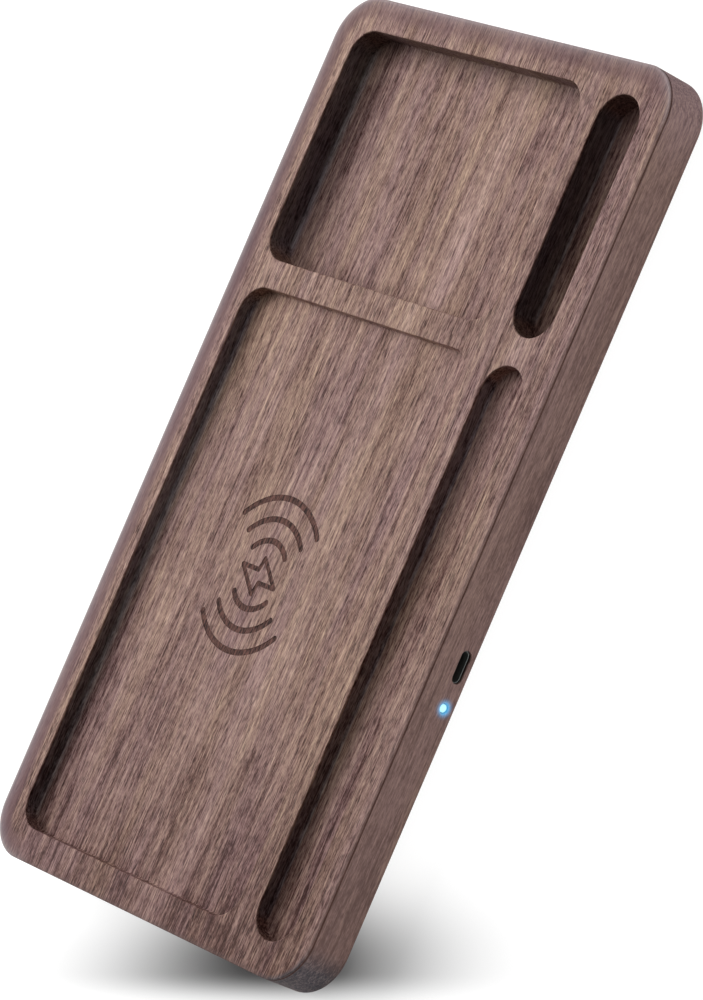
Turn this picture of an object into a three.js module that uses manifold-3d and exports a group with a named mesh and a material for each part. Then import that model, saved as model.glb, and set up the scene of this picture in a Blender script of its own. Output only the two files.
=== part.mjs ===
// Walnut desk tray with a wireless charger under its phone recess.
// Millimetres, +Z up, +Y towards the deep pocket, +X towards the side with the socket.
// The origin is the middle of the surface that the feet stand on.

import * as THREE from 'three';
import { mergeVertices } from 'three/addons/utils/BufferGeometryUtils.js';
import Module from 'manifold-3d';

const wasm = await Module();
wasm.setup();

// Tray: overall sizes
const trayLength = 250;
const trayWidth = 140;
const trayThickness = 14;
const trayCornerRadius = 13;
const undersideRound = 3;
const topEdgeRound = 0.3;
const footProud = 1;

// Tray: layout of the recesses
const rimWidth = 9;
const webWidth = 8;
const slotWidth = 16;
const pocketLength = 67;
const recessCornerRadius = 8;
const shallowDepth = 4;
const deepDepth = 8;

// Charging figure cut into the floor of the phone recess
const figureDepth = 0.15;
const figureLine = 1.7;
const figureRadii = [9.5, 15.4, 21.4];
const figureArcSpan = THREE.MathUtils.degToRad(98);
const figureAboveMiddle = 6.5;
const figureAside = 0.6;
const boltLine = 1.35;
const boltAside = 0.2;
const boltBelow = 0.45;
const boltReach = 8.1;
const boltShares = [
  [-0.98, 0.21],
  [0.02, -0.62],
  [0.11, -0.21],
  [0.98, -0.21],
  [-0.02, 0.62],
  [-0.11, 0.21],
];

// Clearances
const fitGap = 0.3;
const overrun = 2;
const mergeDistance = 1e-5;

// Underside: cavity, cover, and feet
const floorSkin = 2.5;
const coverThickness = 1.5;
const coverLedge = 6;
const cavityLength = 76;
const cavityBeyondCoil = 34;
const cavityCornerRadius = 6;
const portWall = 4;
const footRadius = 6;
const footThickness = 1.6;
const footEdgeRound = 0.4;
const footInset = 15;

// Charger: coil and what holds it
const coilWire = 0.9;
const coilPitch = 1.4;
const coilTurns = 9.5;
const coilBoreRadius = 10;
const tapeThickness = 0.3;
const tapeMargin = 1;
const ferriteSize = 54;
const ferriteThickness = 1.2;
const ferriteCornerRadius = 4;
const leadNotch = 8;
const leadWire = 0.7;
const leadOnBoard = 3;
const leadPadSpacing = 20;
const innerLeadShares = [
  [0.35, 0.86, 0.15],
  [0.55, 0.66, 0.5],
  [0.8, 0.5, 1],
  [2.6, 0.5, 1],
];
const foamSize = 40;
const foamCornerRadius = 5;

// Charger: board, socket and status light
const boardLength = 40;
const boardWidth = 28;
const boardThickness = 1;
const boardCornerRadius = 1.5;
const boardHoleInset = 2.4;
const portAlong = -34;
const portBelowTop = 9.5;
const portWidth = 8.94;
const portHeight = 3.26;
const portShellWall = 0.3;
const portDepth = 7.3;
const portLip = 0.6;
const portSetBack = 0.9;
const tongueWidth = 6.7;
const tongueThickness = 0.7;
const tongueDepth = 5;
const tongueRound = 0.2;
const lightFromPort = 11.2;
const lightRadius = 1.1;
const lightSetBack = 0.2;
const lightCollarRadius = 1.5;
const lightCollarLength = 1.2;
const emitterDepth = 1.6;
const emitterWidth = 3;
const emitterHeight = 2.4;

// Charger: components under the board
const controllerSize = 6;
const bridgeSize = 4;
const chipThickness = 0.9;
const inductorSize = 7;
const inductorHeight = 2.8;
const inductorRound = 1.2;
const capacitorLength = 3.2;
const capacitorWidth = 2.5;
const capacitorHeight = 2.2;
const capacitorPitch = 3.6;
const inputCapacitorLength = 5.6;
const componentRound = 0.3;
const resonantCount = 4;
const controllerShares = [-0.1, -0.28];
const bridgeShares = [-0.35, 0.1];
const inductorShares = [-0.05, 0.5];
const inputCapacitorShares = [0.42, -0.05];
const resonantShares = [0.07, -0.68];

// Fasteners
const screwHeadRadius = 1.9;
const screwHeadHeight = 1.1;
const screwShankRadius = 1;
const screwTipRadius = 0.35;
const screwTipLength = 1.2;
const driveRadius = 0.9;
const driveFloorRadius = 0.4;
const driveDepth = 0.6;
const coverScrewLength = 6.5;
const boardScrewLength = 5;

// Counts of flat sides
const outerCornerSides = 8;
const recessCornerSides = 7;
const slotEndSides = 9;
const smallCornerSides = 3;
const discSides = 6;
const screwSides = 4;
const undersideRoundSides = 4;
const topEdgeSides = 2;
const figureArcSides = 12;
const figureCapSides = 4;
const coilStepsPerTurn = 24;
const coilWireSides = 6;
const leadSteps = 30;
const leadSides = 8;

// Levels, from the feet up
const woodBottom = footProud;
const woodTop = woodBottom + trayThickness;
const shallowFloor = woodTop - shallowDepth;
const deepFloor = woodTop - deepDepth;
const coverTop = woodBottom + coverThickness;
const cavityTop = shallowFloor - floorSkin;
const portLevel = woodTop - portBelowTop;
const boardBottom = portLevel + portHeight / 2;
const boardTop = boardBottom + boardThickness;
const coilLevel = cavityTop - tapeThickness - fitGap - coilWire / 2;
const ferriteTop = coilLevel - coilWire / 2 - fitGap;
const ferriteBottom = ferriteTop - ferriteThickness;
const leadLevel = ferriteTop - ferriteThickness / 2;

// Places across and along the tray
const halfWidth = trayWidth / 2;
const halfLength = trayLength / 2;
const slotRight = halfWidth - rimWidth;
const slotLeft = slotRight - slotWidth;
const recessRight = slotLeft - webWidth;
const recessLeft = rimWidth - halfWidth;
const pocketTop = halfLength - rimWidth;
const pocketBottom = pocketTop - pocketLength;
const recessTop = pocketBottom - webWidth;
const recessBottom = rimWidth - halfLength;
const coilX = (recessLeft + recessRight) / 2;
const coilY = (recessTop + recessBottom) / 2 + figureAboveMiddle;
const figureX = coilX - figureAside;
const figureY = coilY;
const coilSteps = Math.round(coilTurns * coilStepsPerTurn);
const cavityRight = halfWidth - portWall;
const cavityLeft = coilX - cavityBeyondCoil;
const boardX = cavityRight - fitGap - boardWidth / 2;
const lightAlong = portAlong - lightFromPort;

// Plan of a rounded rectangle between two corners
function plan(left, right, near, far, radius, sides) {
  const halfX = (right - left) / 2;
  const halfY = (far - near) / 2;
  const corner = Math.min(radius, halfX, halfY);
  return {
    x: (left + right) / 2,
    y: (near + far) / 2,
    cornerX: halfX - corner,
    cornerY: halfY - corner,
    radius: corner,
    sides,
  };
}

// Plan of a rounded rectangle about its middle
function planAbout(x, y, width, length, radius, sides) {
  return plan(x - width / 2, x + width / 2, y - length / 2, y + length / 2, radius, sides);
}

// Plan of a disc, which is a rounded rectangle with no straight sides
function discPlan(x, y, radius, sides) {
  return { x, y, cornerX: 0, cornerY: 0, radius, sides };
}

// The same plan, grown outwards all round
function grown(shape, by) {
  return { ...shape, radius: shape.radius + by };
}

// Points of a plan, anticlockwise, drawn inwards by the inset
function ringPoints(shape, inset) {
  const radius = shape.radius - inset;
  const points = [];
  [0, 1, 2, 3].forEach((corner) => {
    const signX = corner === 0 || corner === 3 ? 1 : -1;
    const signY = corner < 2 ? 1 : -1;
    const straight = corner % 2 === 0 ? shape.cornerX : shape.cornerY;
    const last = straight === 0 ? shape.sides - 1 : shape.sides;
    for (let step = 0; step <= last; step += 1) {
      const angle = ((corner + step / shape.sides) * Math.PI) / 2;
      points.push([
        shape.x + signX * shape.cornerX + radius * Math.cos(angle),
        shape.y + signY * shape.cornerY + radius * Math.sin(angle),
      ]);
    }
  });
  return points;
}

// Closed body through rings of equally many points, each end closed by a fan about its middle
function loft(rings) {
  const positions = rings.flat(2);
  const count = rings[0].length;
  const index = [];
  for (let ring = 0; ring + 1 < rings.length; ring += 1) {
    for (let side = 0; side < count; side += 1) {
      const next = (side + 1) % count;
      const low = ring * count;
      const high = low + count;
      index.push(low + side, low + next, high + next);
      index.push(low + side, high + next, high + side);
    }
  }
  [rings[0], rings[rings.length - 1]].forEach((ring, end) => {
    const middle = positions.length / 3;
    const start = end === 0 ? 0 : (rings.length - 1) * count;
    [0, 1, 2].forEach((axis) => {
      positions.push(ring.reduce((sum, point) => sum + point[axis], 0) / count);
    });
    for (let side = 0; side < count; side += 1) {
      const here = start + side;
      const next = start + ((side + 1) % count);
      index.push(middle, end === 0 ? next : here, end === 0 ? here : next);
    }
  });
  const geometry = new THREE.BufferGeometry();
  geometry.setAttribute('position', new THREE.Float32BufferAttribute(positions, 3));
  geometry.setIndex(index);
  return geometry;
}

// Body of a plan through levels, each with a height and an inset
function layered(shape, levels) {
  return loft(levels.map(([height, inset]) => ringPoints(shape, inset).map(([x, y]) => [x, y, height])));
}

// Straight-sided body of a plan
function slab(shape, bottom, top) {
  return layered(shape, [
    [bottom, 0],
    [top, 0],
  ]);
}

// Quarter-round levels that rise from the bottom edge, or fall from the top edge when reversed
function roundLevels(edge, radius, sides, direction) {
  const levels = [];
  for (let step = 0; step <= sides; step += 1) {
    const angle = ((step / sides) * Math.PI) / 2;
    levels.push([
      edge + direction * radius * (1 - Math.cos(angle)),
      radius * (1 - Math.sin(angle)),
    ]);
  }
  return direction > 0 ? levels : levels.reverse();
}

// Turns a body built upwards so that it points along X: its X becomes Y and its Y becomes Z
function laidAlongX(geometry) {
  const turn = new THREE.Matrix4().makeBasis(
    new THREE.Vector3(0, 1, 0),
    new THREE.Vector3(0, 0, 1),
    new THREE.Vector3(1, 0, 0),
  );
  return geometry.applyMatrix4(turn);
}

// Solid of a closed geometry, for joining and cutting
function solidOf(geometry) {
  const bare = geometry.clone();
  bare.deleteAttribute('normal');
  bare.deleteAttribute('uv');
  const merged = mergeVertices(bare, mergeDistance);
  return new wasm.Manifold(
    new wasm.Mesh({
      numProp: 3,
      vertProperties: new Float32Array(merged.attributes.position.array),
      triVerts: new Uint32Array(merged.index.array),
    }),
  );
}

// Geometry of a joined or cut solid
function geometryOf(solid) {
  const mesh = solid.getMesh();
  const geometry = new THREE.BufferGeometry();
  geometry.setAttribute('position', new THREE.BufferAttribute(new Float32Array(mesh.vertProperties), 3));
  geometry.setIndex(new THREE.BufferAttribute(new Uint32Array(mesh.triVerts), 1));
  return geometry;
}

// Geometry with a list of others cut out of it
function cut(geometry, tools) {
  const solid = tools.reduce((left, tool) => left.subtract(solidOf(tool)), solidOf(geometry));
  return geometryOf(solid);
}

const assembly = new THREE.Group();
assembly.name = 'wireless_charging_tray';

// Puts one named piece into the assembly
function addPiece(name, geometry, surface) {
  geometry.computeVertexNormals();
  const mesh = new THREE.Mesh(geometry, surface.clone());
  mesh.name = name;
  assembly.add(mesh);
  return mesh;
}

// Surfaces
function surfaceOf(color, roughness, metalness) {
  return new THREE.MeshStandardMaterial({ color, roughness, metalness });
}

const walnut = surfaceOf(0x7f625a, 0.62, 0);
const coverPlastic = surfaceOf(0x1c1c1e, 0.6, 0);
const rubber = surfaceOf(0x222222, 0.85, 0);
const steel = surfaceOf(0x8d8f92, 0.35, 1);
const copper = surfaceOf(0xb8703c, 0.4, 1);
const darkFerrite = surfaceOf(0x37383b, 0.55, 0);
const foam = surfaceOf(0x4a4b4d, 0.95, 0);
const tape = surfaceOf(0xe8e2d2, 0.7, 0);
const boardGreen = surfaceOf(0x1f5a3a, 0.5, 0);
const chipBlack = surfaceOf(0x161617, 0.5, 0);
const ceramic = surfaceOf(0xb49a72, 0.5, 0);
const leadSleeve = surfaceOf(0x9c3b2e, 0.5, 0);
const litPlastic = surfaceOf(0xcdf3ff, 0.2, 0);
litPlastic.emissive.set(0x9fe8ff);

// Plans that more than one piece follows
const phoneRecess = plan(
  recessLeft,
  recessRight,
  recessBottom,
  recessTop,
  recessCornerRadius,
  recessCornerSides,
);
const deepPocket = plan(
  recessLeft,
  recessRight,
  pocketBottom,
  pocketTop,
  recessCornerRadius,
  recessCornerSides,
);
const shortSlot = plan(slotLeft, slotRight, pocketBottom, pocketTop, slotWidth / 2, slotEndSides);
const longSlot = plan(slotLeft, slotRight, recessBottom, recessTop, slotWidth / 2, slotEndSides);
const cavity = plan(
  cavityLeft,
  cavityRight,
  coilY - cavityLength / 2,
  coilY + cavityLength / 2,
  cavityCornerRadius,
  smallCornerSides,
);
const coverSeat = plan(
  cavityLeft - coverLedge,
  cavityRight,
  coilY - cavityLength / 2 - coverLedge,
  coilY + cavityLength / 2 + coverLedge,
  cavityCornerRadius,
  smallCornerSides,
);
const coverPlan = grown(coverSeat, -fitGap);
const boardPlan = planAbout(boardX, portAlong, boardWidth, boardLength, boardCornerRadius, smallCornerSides);
const portPlan = planAbout(portAlong, portLevel, portWidth, portHeight, portHeight / 2, smallCornerSides);
const lightPlan = discPlan(lightAlong, portLevel, lightRadius, discSides);

// Middles of the feet, of the cover's screws and of the board's screws
const footPlaces = [-1, 1].flatMap((signX) =>
  [-1, 1].map((signY) => [signX * (halfWidth - footInset), signY * (halfLength - footInset)]),
);
const coverScrewPlaces = [-1, 1].flatMap((signY) =>
  [-1, 0, 1].map((signX) => [
    coverSeat.x + signX * (coverSeat.cornerX + coverSeat.radius - coverLedge),
    coverSeat.y + signY * (coverSeat.cornerY + coverSeat.radius - coverLedge / 2),
  ]),
);
const boardScrewPlaces = [-1, 1].flatMap((signY) =>
  [-1, 1].map((signX) => [
    boardX + signX * (boardWidth / 2 - boardHoleInset),
    portAlong + signY * (boardLength / 2 - boardHoleInset),
  ]),
);

// Point at a distance and an angle from another
function pointFrom(middle, radius, angle) {
  return new THREE.Vector2(middle.x + radius * Math.cos(angle), middle.y + radius * Math.sin(angle));
}

// Points of a half circle about a middle, without its two ends
function capPoints(middle, radius, start) {
  return Array.from({ length: figureCapSides - 1 }, (_, step) =>
    pointFrom(middle, radius, start + (Math.PI * (step + 1)) / figureCapSides),
  );
}

// Flat outline made into a cutter that reaches from the figure's floor out of the wood
function figureCutter(points) {
  const shape = new THREE.Shape(points);
  const geometry = new THREE.ExtrudeGeometry(shape, { depth: figureDepth + overrun, bevelEnabled: false });
  return geometry.translate(0, 0, shallowFloor - figureDepth);
}

// One arc of the charging figure, a band with round ends
function figureArc(radius, middleAngle) {
  const middle = new THREE.Vector2(figureX, figureY);
  const half = figureLine / 2;
  const start = middleAngle - figureArcSpan / 2;
  const end = middleAngle + figureArcSpan / 2;
  const angles = Array.from({ length: figureArcSides + 1 }, (_, step) =>
    THREE.MathUtils.lerp(start, end, step / figureArcSides),
  );
  return [
    ...angles.map((angle) => pointFrom(middle, radius + half, angle)),
    ...capPoints(pointFrom(middle, radius, end), half, end),
    ...angles.reverse().map((angle) => pointFrom(middle, radius - half, angle)),
    ...capPoints(pointFrom(middle, radius, start), half, start + Math.PI),
  ];
}

// One straight stroke of the bolt, a bar with round ends
function boltStroke(from, to) {
  const half = boltLine / 2;
  const square = to.clone().sub(from).angle() - Math.PI / 2;
  return [
    pointFrom(from, half, square),
    pointFrom(to, half, square),
    ...capPoints(to, half, square),
    pointFrom(to, half, square + Math.PI),
    pointFrom(from, half, square + Math.PI),
    ...capPoints(from, half, square + Math.PI),
  ];
}

// All cutters of the charging figure
function figureCutters() {
  const arcs = figureRadii.flatMap((radius) =>
    [1, -1].map((side) => figureCutter(figureArc(radius, (side * Math.PI) / 2))),
  );
  const corners = boltShares.map(
    ([x, y]) =>
      new THREE.Vector2(figureX - boltAside + x * boltReach, figureY - boltBelow + y * boltReach),
  );
  const strokes = corners.map((corner, at) =>
    figureCutter(boltStroke(corner, corners[(at + 1) % corners.length])),
  );
  return [...arcs, ...strokes];
}

// Milled walnut tray
function addTray() {
  const outer = planAbout(0, 0, trayWidth, trayLength, trayCornerRadius, outerCornerSides);
  const blank = layered(outer, [
    ...roundLevels(woodBottom, undersideRound, undersideRoundSides, 1),
    ...roundLevels(woodTop, topEdgeRound, topEdgeSides, -1),
  ]);
  const above = woodTop + overrun;
  const below = woodBottom - overrun;
  const portHole = laidAlongX(slab(grown(portPlan, fitGap), cavityRight - overrun, halfWidth - portLip));
  const portMouth = laidAlongX(slab(portPlan, cavityRight - overrun, halfWidth + overrun));
  const lightHole = laidAlongX(slab(grown(lightPlan, fitGap), cavityRight - overrun, halfWidth + overrun));
  const footSeatTop = footThickness;
  const pilotRadius = screwShankRadius + fitGap;
  const pilots = [
    ...coverScrewPlaces.map((place) => [place, woodBottom + coverScrewLength + fitGap]),
    ...boardScrewPlaces.map((place) => [place, boardBottom + boardScrewLength + fitGap]),
  ];
  const cutters = [
    slab(phoneRecess, shallowFloor, above),
    slab(longSlot, shallowFloor, above),
    slab(deepPocket, deepFloor, above),
    slab(shortSlot, deepFloor, above),
    slab(cavity, below, cavityTop),
    slab(coverSeat, below, coverTop),
    portHole,
    portMouth,
    lightHole,
    ...footPlaces.map(([x, y]) => slab(discPlan(x, y, footRadius + fitGap, discSides), below, footSeatTop)),
    ...pilots.map(([[x, y], tip]) => slab(discPlan(x, y, pilotRadius, screwSides), below, tip)),
    ...figureCutters(),
  ];
  addPiece('tray_body', cut(blank, cutters), walnut);
}

// Cover let into the underside, flush with the wood
function addCover() {
  const holes = coverScrewPlaces.map(([x, y]) =>
    layered(discPlan(x, y, screwHeadRadius + fitGap, screwSides), [
      [woodBottom - overrun, 0],
      [woodBottom, 0],
      [woodBottom + screwHeadHeight, screwHeadRadius - screwShankRadius],
      [coverTop + overrun, screwHeadRadius - screwShankRadius],
    ]),
  );
  addPiece('base_cover', cut(slab(coverPlan, woodBottom, coverTop), holes), coverPlastic);
}

// Screw that points up, with its head's face at the bottom; the seat is where head meets shank
function screwGeometry(x, y, face, length, countersunk) {
  const shankInset = screwHeadRadius - screwShankRadius;
  const seatLevels = countersunk
    ? [[face + screwHeadHeight, shankInset]]
    : [
        [face + screwHeadHeight, 0],
        [face + screwHeadHeight, shankInset],
      ];
  return layered(discPlan(x, y, screwHeadRadius, screwSides), [
    [face + driveDepth, screwHeadRadius - driveFloorRadius],
    [face, screwHeadRadius - driveRadius],
    [face, 0],
    ...seatLevels,
    [face + length - screwTipLength, shankInset],
    [face + length, screwHeadRadius - screwTipRadius],
  ]);
}

// Screws of the cover
function addCoverScrews() {
  coverScrewPlaces.forEach(([x, y], at) => {
    addPiece(`cover_screw_${at + 1}`, screwGeometry(x, y, woodBottom, coverScrewLength, true), steel);
  });
}

// Screws that hold the board up against the wood
function addBoardScrews() {
  const face = boardBottom - screwHeadHeight;
  const length = screwHeadHeight + boardScrewLength;
  boardScrewPlaces.forEach(([x, y], at) => {
    addPiece(`board_screw_${at + 1}`, screwGeometry(x, y, face, length, false), steel);
  });
}

// Rubber feet, each in its shallow seat
function addFeet() {
  footPlaces.forEach(([x, y], at) => {
    const foot = layered(discPlan(x, y, footRadius, discSides), [
      [0, footEdgeRound],
      [footEdgeRound, 0],
      [footThickness, 0],
    ]);
    addPiece(`foot_${at + 1}`, foot, rubber);
  });
}

// Place and heading of the winding's middle line after some steps from its inner end
function coilAt(step) {
  const angle = Math.PI / 2 + (Math.PI * 2 * step) / coilStepsPerTurn;
  const radius = coilBoreRadius + (coilPitch * step) / coilStepsPerTurn;
  return {
    angle,
    place: new THREE.Vector3(coilX + radius * Math.cos(angle), coilY + radius * Math.sin(angle), coilLevel),
    heading: new THREE.Vector3(-Math.sin(angle), Math.cos(angle), 0),
  };
}

// Place straight beyond the winding's first or last step
function beyondCoil(step, distance) {
  const { place, heading } = coilAt(step);
  return place.clone().addScaledVector(heading, distance);
}

// One ring of the winding's wire about a place
function wireRing(place, angle) {
  return Array.from({ length: coilWireSides }, (_, side) => {
    const turn = (Math.PI * 2 * side) / coilWireSides;
    const out = (coilWire / 2) * Math.cos(turn);
    return [
      place.x + out * Math.cos(angle),
      place.y + out * Math.sin(angle),
      place.z - (coilWire / 2) * Math.sin(turn),
    ];
  });
}

// Flat spiral winding, with a straight end of one wire's thickness inside and outside
function coilGeometry() {
  const rings = [wireRing(beyondCoil(0, -coilWire), coilAt(0).angle)];
  for (let step = 0; step <= coilSteps; step += 1) {
    rings.push(wireRing(coilAt(step).place, coilAt(step).angle));
  }
  rings.push(wireRing(beyondCoil(coilSteps, coilWire), coilAt(coilSteps).angle));
  return loft(rings);
}

// Least clear space between neighbouring turns, from points on the winding's middle line
function leastCoilGap() {
  const places = Array.from({ length: coilSteps + 1 }, (_, step) => coilAt(step).place);
  let least = Infinity;
  places.forEach((place, at) => {
    for (let other = at + coilStepsPerTurn / 2; other < places.length; other += 1) {
      least = Math.min(least, place.distanceTo(places[other]));
    }
  });
  return least - coilWire;
}

// Round insulated wire along its places
function leadGeometry(places) {
  const corners = Array.from({ length: leadSides }, (_, side) => {
    const turn = (Math.PI * 2 * side) / leadSides;
    return new THREE.Vector2(Math.cos(turn), Math.sin(turn)).multiplyScalar(leadWire / 2);
  });
  return new THREE.ExtrudeGeometry(new THREE.Shape(corners), {
    steps: leadSteps,
    extrudePath: new THREE.CatmullRomCurve3(places),
    bevelEnabled: false,
  });
}

// Coil, the tape that holds it to the wood, the shield behind it and the foam under that
function addCoilStack() {
  const outerRadius = coilBoreRadius + coilPitch * coilTurns + coilWire / 2;
  const tapeDisc = discPlan(coilX, coilY, outerRadius + tapeMargin, discSides);
  const ferritePlan = planAbout(
    coilX,
    coilY,
    ferriteSize,
    ferriteSize,
    ferriteCornerRadius,
    smallCornerSides,
  );
  const notch = plan(
    coilX + leadWire,
    coilX + ferriteSize / 2 + overrun,
    coilY + coilBoreRadius - leadNotch,
    coilY + coilBoreRadius + coilWire,
    leadWire,
    smallCornerSides,
  );
  const foamPlan = planAbout(coilX, coilY, foamSize, foamSize, foamCornerRadius, smallCornerSides);
  const notchCutter = slab(notch, ferriteBottom - overrun, ferriteTop + overrun);
  addPiece('coil_tape', slab(tapeDisc, cavityTop - tapeThickness, cavityTop), tape);
  addPiece('charging_coil', coilGeometry(), copper);
  addPiece('ferrite_sheet', cut(slab(ferritePlan, ferriteBottom, ferriteTop), [notchCutter]), darkFerrite);
  addPiece('foam_pad', slab(foamPlan, coverTop, ferriteBottom), foam);
}

// Leads from the two ends of the coil to the underside of the board
function addLeads() {
  const padX = boardX - boardWidth / 2 + leadOnBoard;
  const padLevel = boardBottom - fitGap - leadWire / 2;
  const straight = coilWire + fitGap;
  const inner = innerLeadShares.map(
    ([x, y, drop]) =>
      new THREE.Vector3(
        coilX + x * coilBoreRadius,
        coilY + y * coilBoreRadius,
        THREE.MathUtils.lerp(coilLevel, leadLevel, drop),
      ),
  );
  const outerTurn = coilAt(coilSteps).place;
  const padsFor = (y) => [
    new THREE.Vector3(padX - leadOnBoard * 2, y, padLevel),
    new THREE.Vector3(padX, y, padLevel),
  ];
  addPiece(
    'coil_lead_inner',
    leadGeometry([beyondCoil(0, -straight), ...inner, ...padsFor(portAlong + leadPadSpacing / 2)]),
    leadSleeve,
  );
  addPiece(
    'coil_lead_outer',
    leadGeometry([
      beyondCoil(coilSteps, straight),
      new THREE.Vector3(coilX + ferriteSize / 2, outerTurn.y, coilLevel),
      ...padsFor(portAlong - leadPadSpacing / 2),
    ]),
    leadSleeve,
  );
}

// Board that carries the socket, the light and the charger's components on its underside
function addBoard() {
  const holes = boardScrewPlaces.map(([x, y]) =>
    slab(discPlan(x, y, screwShankRadius + fitGap, screwSides), boardBottom - overrun, boardTop + overrun),
  );
  addPiece('circuit_board', cut(slab(boardPlan, boardBottom, boardTop), holes), boardGreen);
}

// Socket: a thin shell closed at its back, and the tongue that stands on that back wall
function addSocket() {
  const front = halfWidth - portSetBack;
  const back = front - portDepth;
  const shell = laidAlongX(slab(portPlan, back, front));
  const hollow = laidAlongX(slab(grown(portPlan, -portShellWall), back + portShellWall, front + overrun));
  const tonguePlan = planAbout(
    portAlong,
    portLevel,
    tongueWidth,
    tongueThickness,
    tongueRound,
    smallCornerSides,
  );
  const tongueFoot = back + portShellWall;
  addPiece('usb_port_shell', cut(shell, [hollow]), steel);
  addPiece('usb_port_tongue', laidAlongX(slab(tonguePlan, tongueFoot, tongueFoot + tongueDepth)), chipBlack);
}

// Status light: a clear rod through the side, with a collar inside, and the emitter behind it
function addStatusLight() {
  const collarFront = cavityRight - fitGap;
  const collarBack = collarFront - lightCollarLength;
  const collarInset = lightCollarRadius - lightRadius;
  const rod = layered(discPlan(lightAlong, portLevel, lightCollarRadius, discSides), [
    [collarBack, 0],
    [collarFront, 0],
    [collarFront, collarInset],
    [halfWidth - lightSetBack, collarInset],
  ]);
  const emitterFront = collarBack - fitGap;
  const emitter = plan(
    emitterFront - emitterDepth,
    emitterFront,
    lightAlong - emitterWidth / 2,
    lightAlong + emitterWidth / 2,
    componentRound,
    smallCornerSides,
  );
  addPiece('light_pipe', laidAlongX(rod), litPlastic);
  addPiece('led_emitter', slab(emitter, boardBottom - emitterHeight, boardBottom), ceramic);
}

// One component that hangs under the board, at shares of the board's half sizes from its middle
function addComponent(name, shares, width, length, height, surface, radius, shift) {
  const x = boardX + (shares[0] * boardWidth) / 2 + shift;
  const y = portAlong + (shares[1] * boardLength) / 2;
  const outline = planAbout(x, y, width, length, radius, smallCornerSides);
  addPiece(name, slab(outline, boardBottom - height, boardBottom), surface);
}

// The charger's components
function addComponents() {
  addComponent(
    'controller_chip',
    controllerShares,
    controllerSize,
    controllerSize,
    chipThickness,
    chipBlack,
    componentRound,
    0,
  );
  addComponent('bridge_chip', bridgeShares, bridgeSize, bridgeSize, chipThickness, chipBlack, componentRound, 0);
  addComponent(
    'power_inductor',
    inductorShares,
    inductorSize,
    inductorSize,
    inductorHeight,
    darkFerrite,
    inductorRound,
    0,
  );
  addComponent(
    'input_capacitor',
    inputCapacitorShares,
    inputCapacitorLength,
    capacitorWidth,
    capacitorHeight,
    ceramic,
    componentRound,
    0,
  );
  for (let at = 0; at < resonantCount; at += 1) {
    addComponent(
      `resonant_capacitor_${at + 1}`,
      resonantShares,
      capacitorWidth,
      capacitorLength,
      capacitorHeight,
      ceramic,
      componentRound,
      capacitorPitch * (at - (resonantCount - 1) / 2),
    );
  }
}

addTray();
addCover();
addCoverScrews();
addFeet();
addCoilStack();
addLeads();
addBoard();
addBoardScrews();
addSocket();
addStatusLight();
addComponents();

console.log(`least gap between the coil's turns: ${leastCoilGap().toFixed(2)} mm`);

export default assembly;
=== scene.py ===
"""Looks of the walnut desk tray with a wireless charger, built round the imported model.

Sizes in the classes are millimetres; a piece is turned into metres when its mesh is made.
"""

import logging
import math
from dataclasses import dataclass
from enum import Enum

import bmesh
import bpy
import numpy as np
from mathutils import Matrix, Vector
from mathutils.geometry import delaunay_2d_cdt
from numpy.typing import NDArray


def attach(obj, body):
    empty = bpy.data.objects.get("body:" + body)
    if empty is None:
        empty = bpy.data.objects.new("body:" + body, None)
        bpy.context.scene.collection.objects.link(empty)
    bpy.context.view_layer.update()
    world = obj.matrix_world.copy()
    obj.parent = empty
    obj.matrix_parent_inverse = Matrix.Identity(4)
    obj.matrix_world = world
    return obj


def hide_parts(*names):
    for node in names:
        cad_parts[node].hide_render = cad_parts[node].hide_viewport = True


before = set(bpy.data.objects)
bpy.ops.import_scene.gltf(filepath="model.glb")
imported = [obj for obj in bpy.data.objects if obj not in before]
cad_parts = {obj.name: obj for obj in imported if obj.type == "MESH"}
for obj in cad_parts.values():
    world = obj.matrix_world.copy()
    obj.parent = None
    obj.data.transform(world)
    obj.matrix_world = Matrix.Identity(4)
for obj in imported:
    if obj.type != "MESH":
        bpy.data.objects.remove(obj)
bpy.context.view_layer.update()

Array = NDArray[np.float64]
Faces = NDArray[np.int64]
Pair = tuple[float, float]
Pairs = tuple[Pair, ...]
Place = tuple[float, float, float]
Colour = tuple[float, float, float, float]
Paint = tuple[int, int, int]
Paints = tuple[tuple[float, Paint], ...]
Output = bpy.types.NodeSocket
Value = Output | float | tuple[float, ...]

MM = 0.001
TURN = 2 * math.pi
WELD = 2e-6
SAME = 1e-6
TINY = 1e-12
BODY = "root"

logging.basicConfig(level=logging.INFO, format="%(message)s")
log = logging.getLogger("tray")


class Mark(Enum):
    """What the marks attribute says of a face: burnt wood, the dark arris, or bare metal."""

    NONE = (0.0, 0.0, 0.0)
    BURNT = (1.0, 0.0, 0.0)
    ARRIS = (0.0, 1.0, 0.0)
    METAL = (0.0, 0.0, 1.0)


class Lie(Enum):
    """How a piece that was drawn upwards lies: as drawn, or with its top towards +X."""

    UPRIGHT = 0
    ALONG_X = 1


def shade(red: int, green: int, blue: int) -> Colour:
    """Linear colour of a paint given in everyday steps from 0 to 255.

    Args:
        red: Red step.
        green: Green step.
        blue: Blue step.

    Returns:
        Red, green, blue and full cover, each from 0 to 1.
    """
    steps = np.array([red, green, blue]) / 255
    linear = np.where(steps <= 0.04045, steps / 12.92, ((steps + 0.055) / 1.055) ** 2.4)
    return (*linear.tolist(), 1.0)


# Shapes


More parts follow.
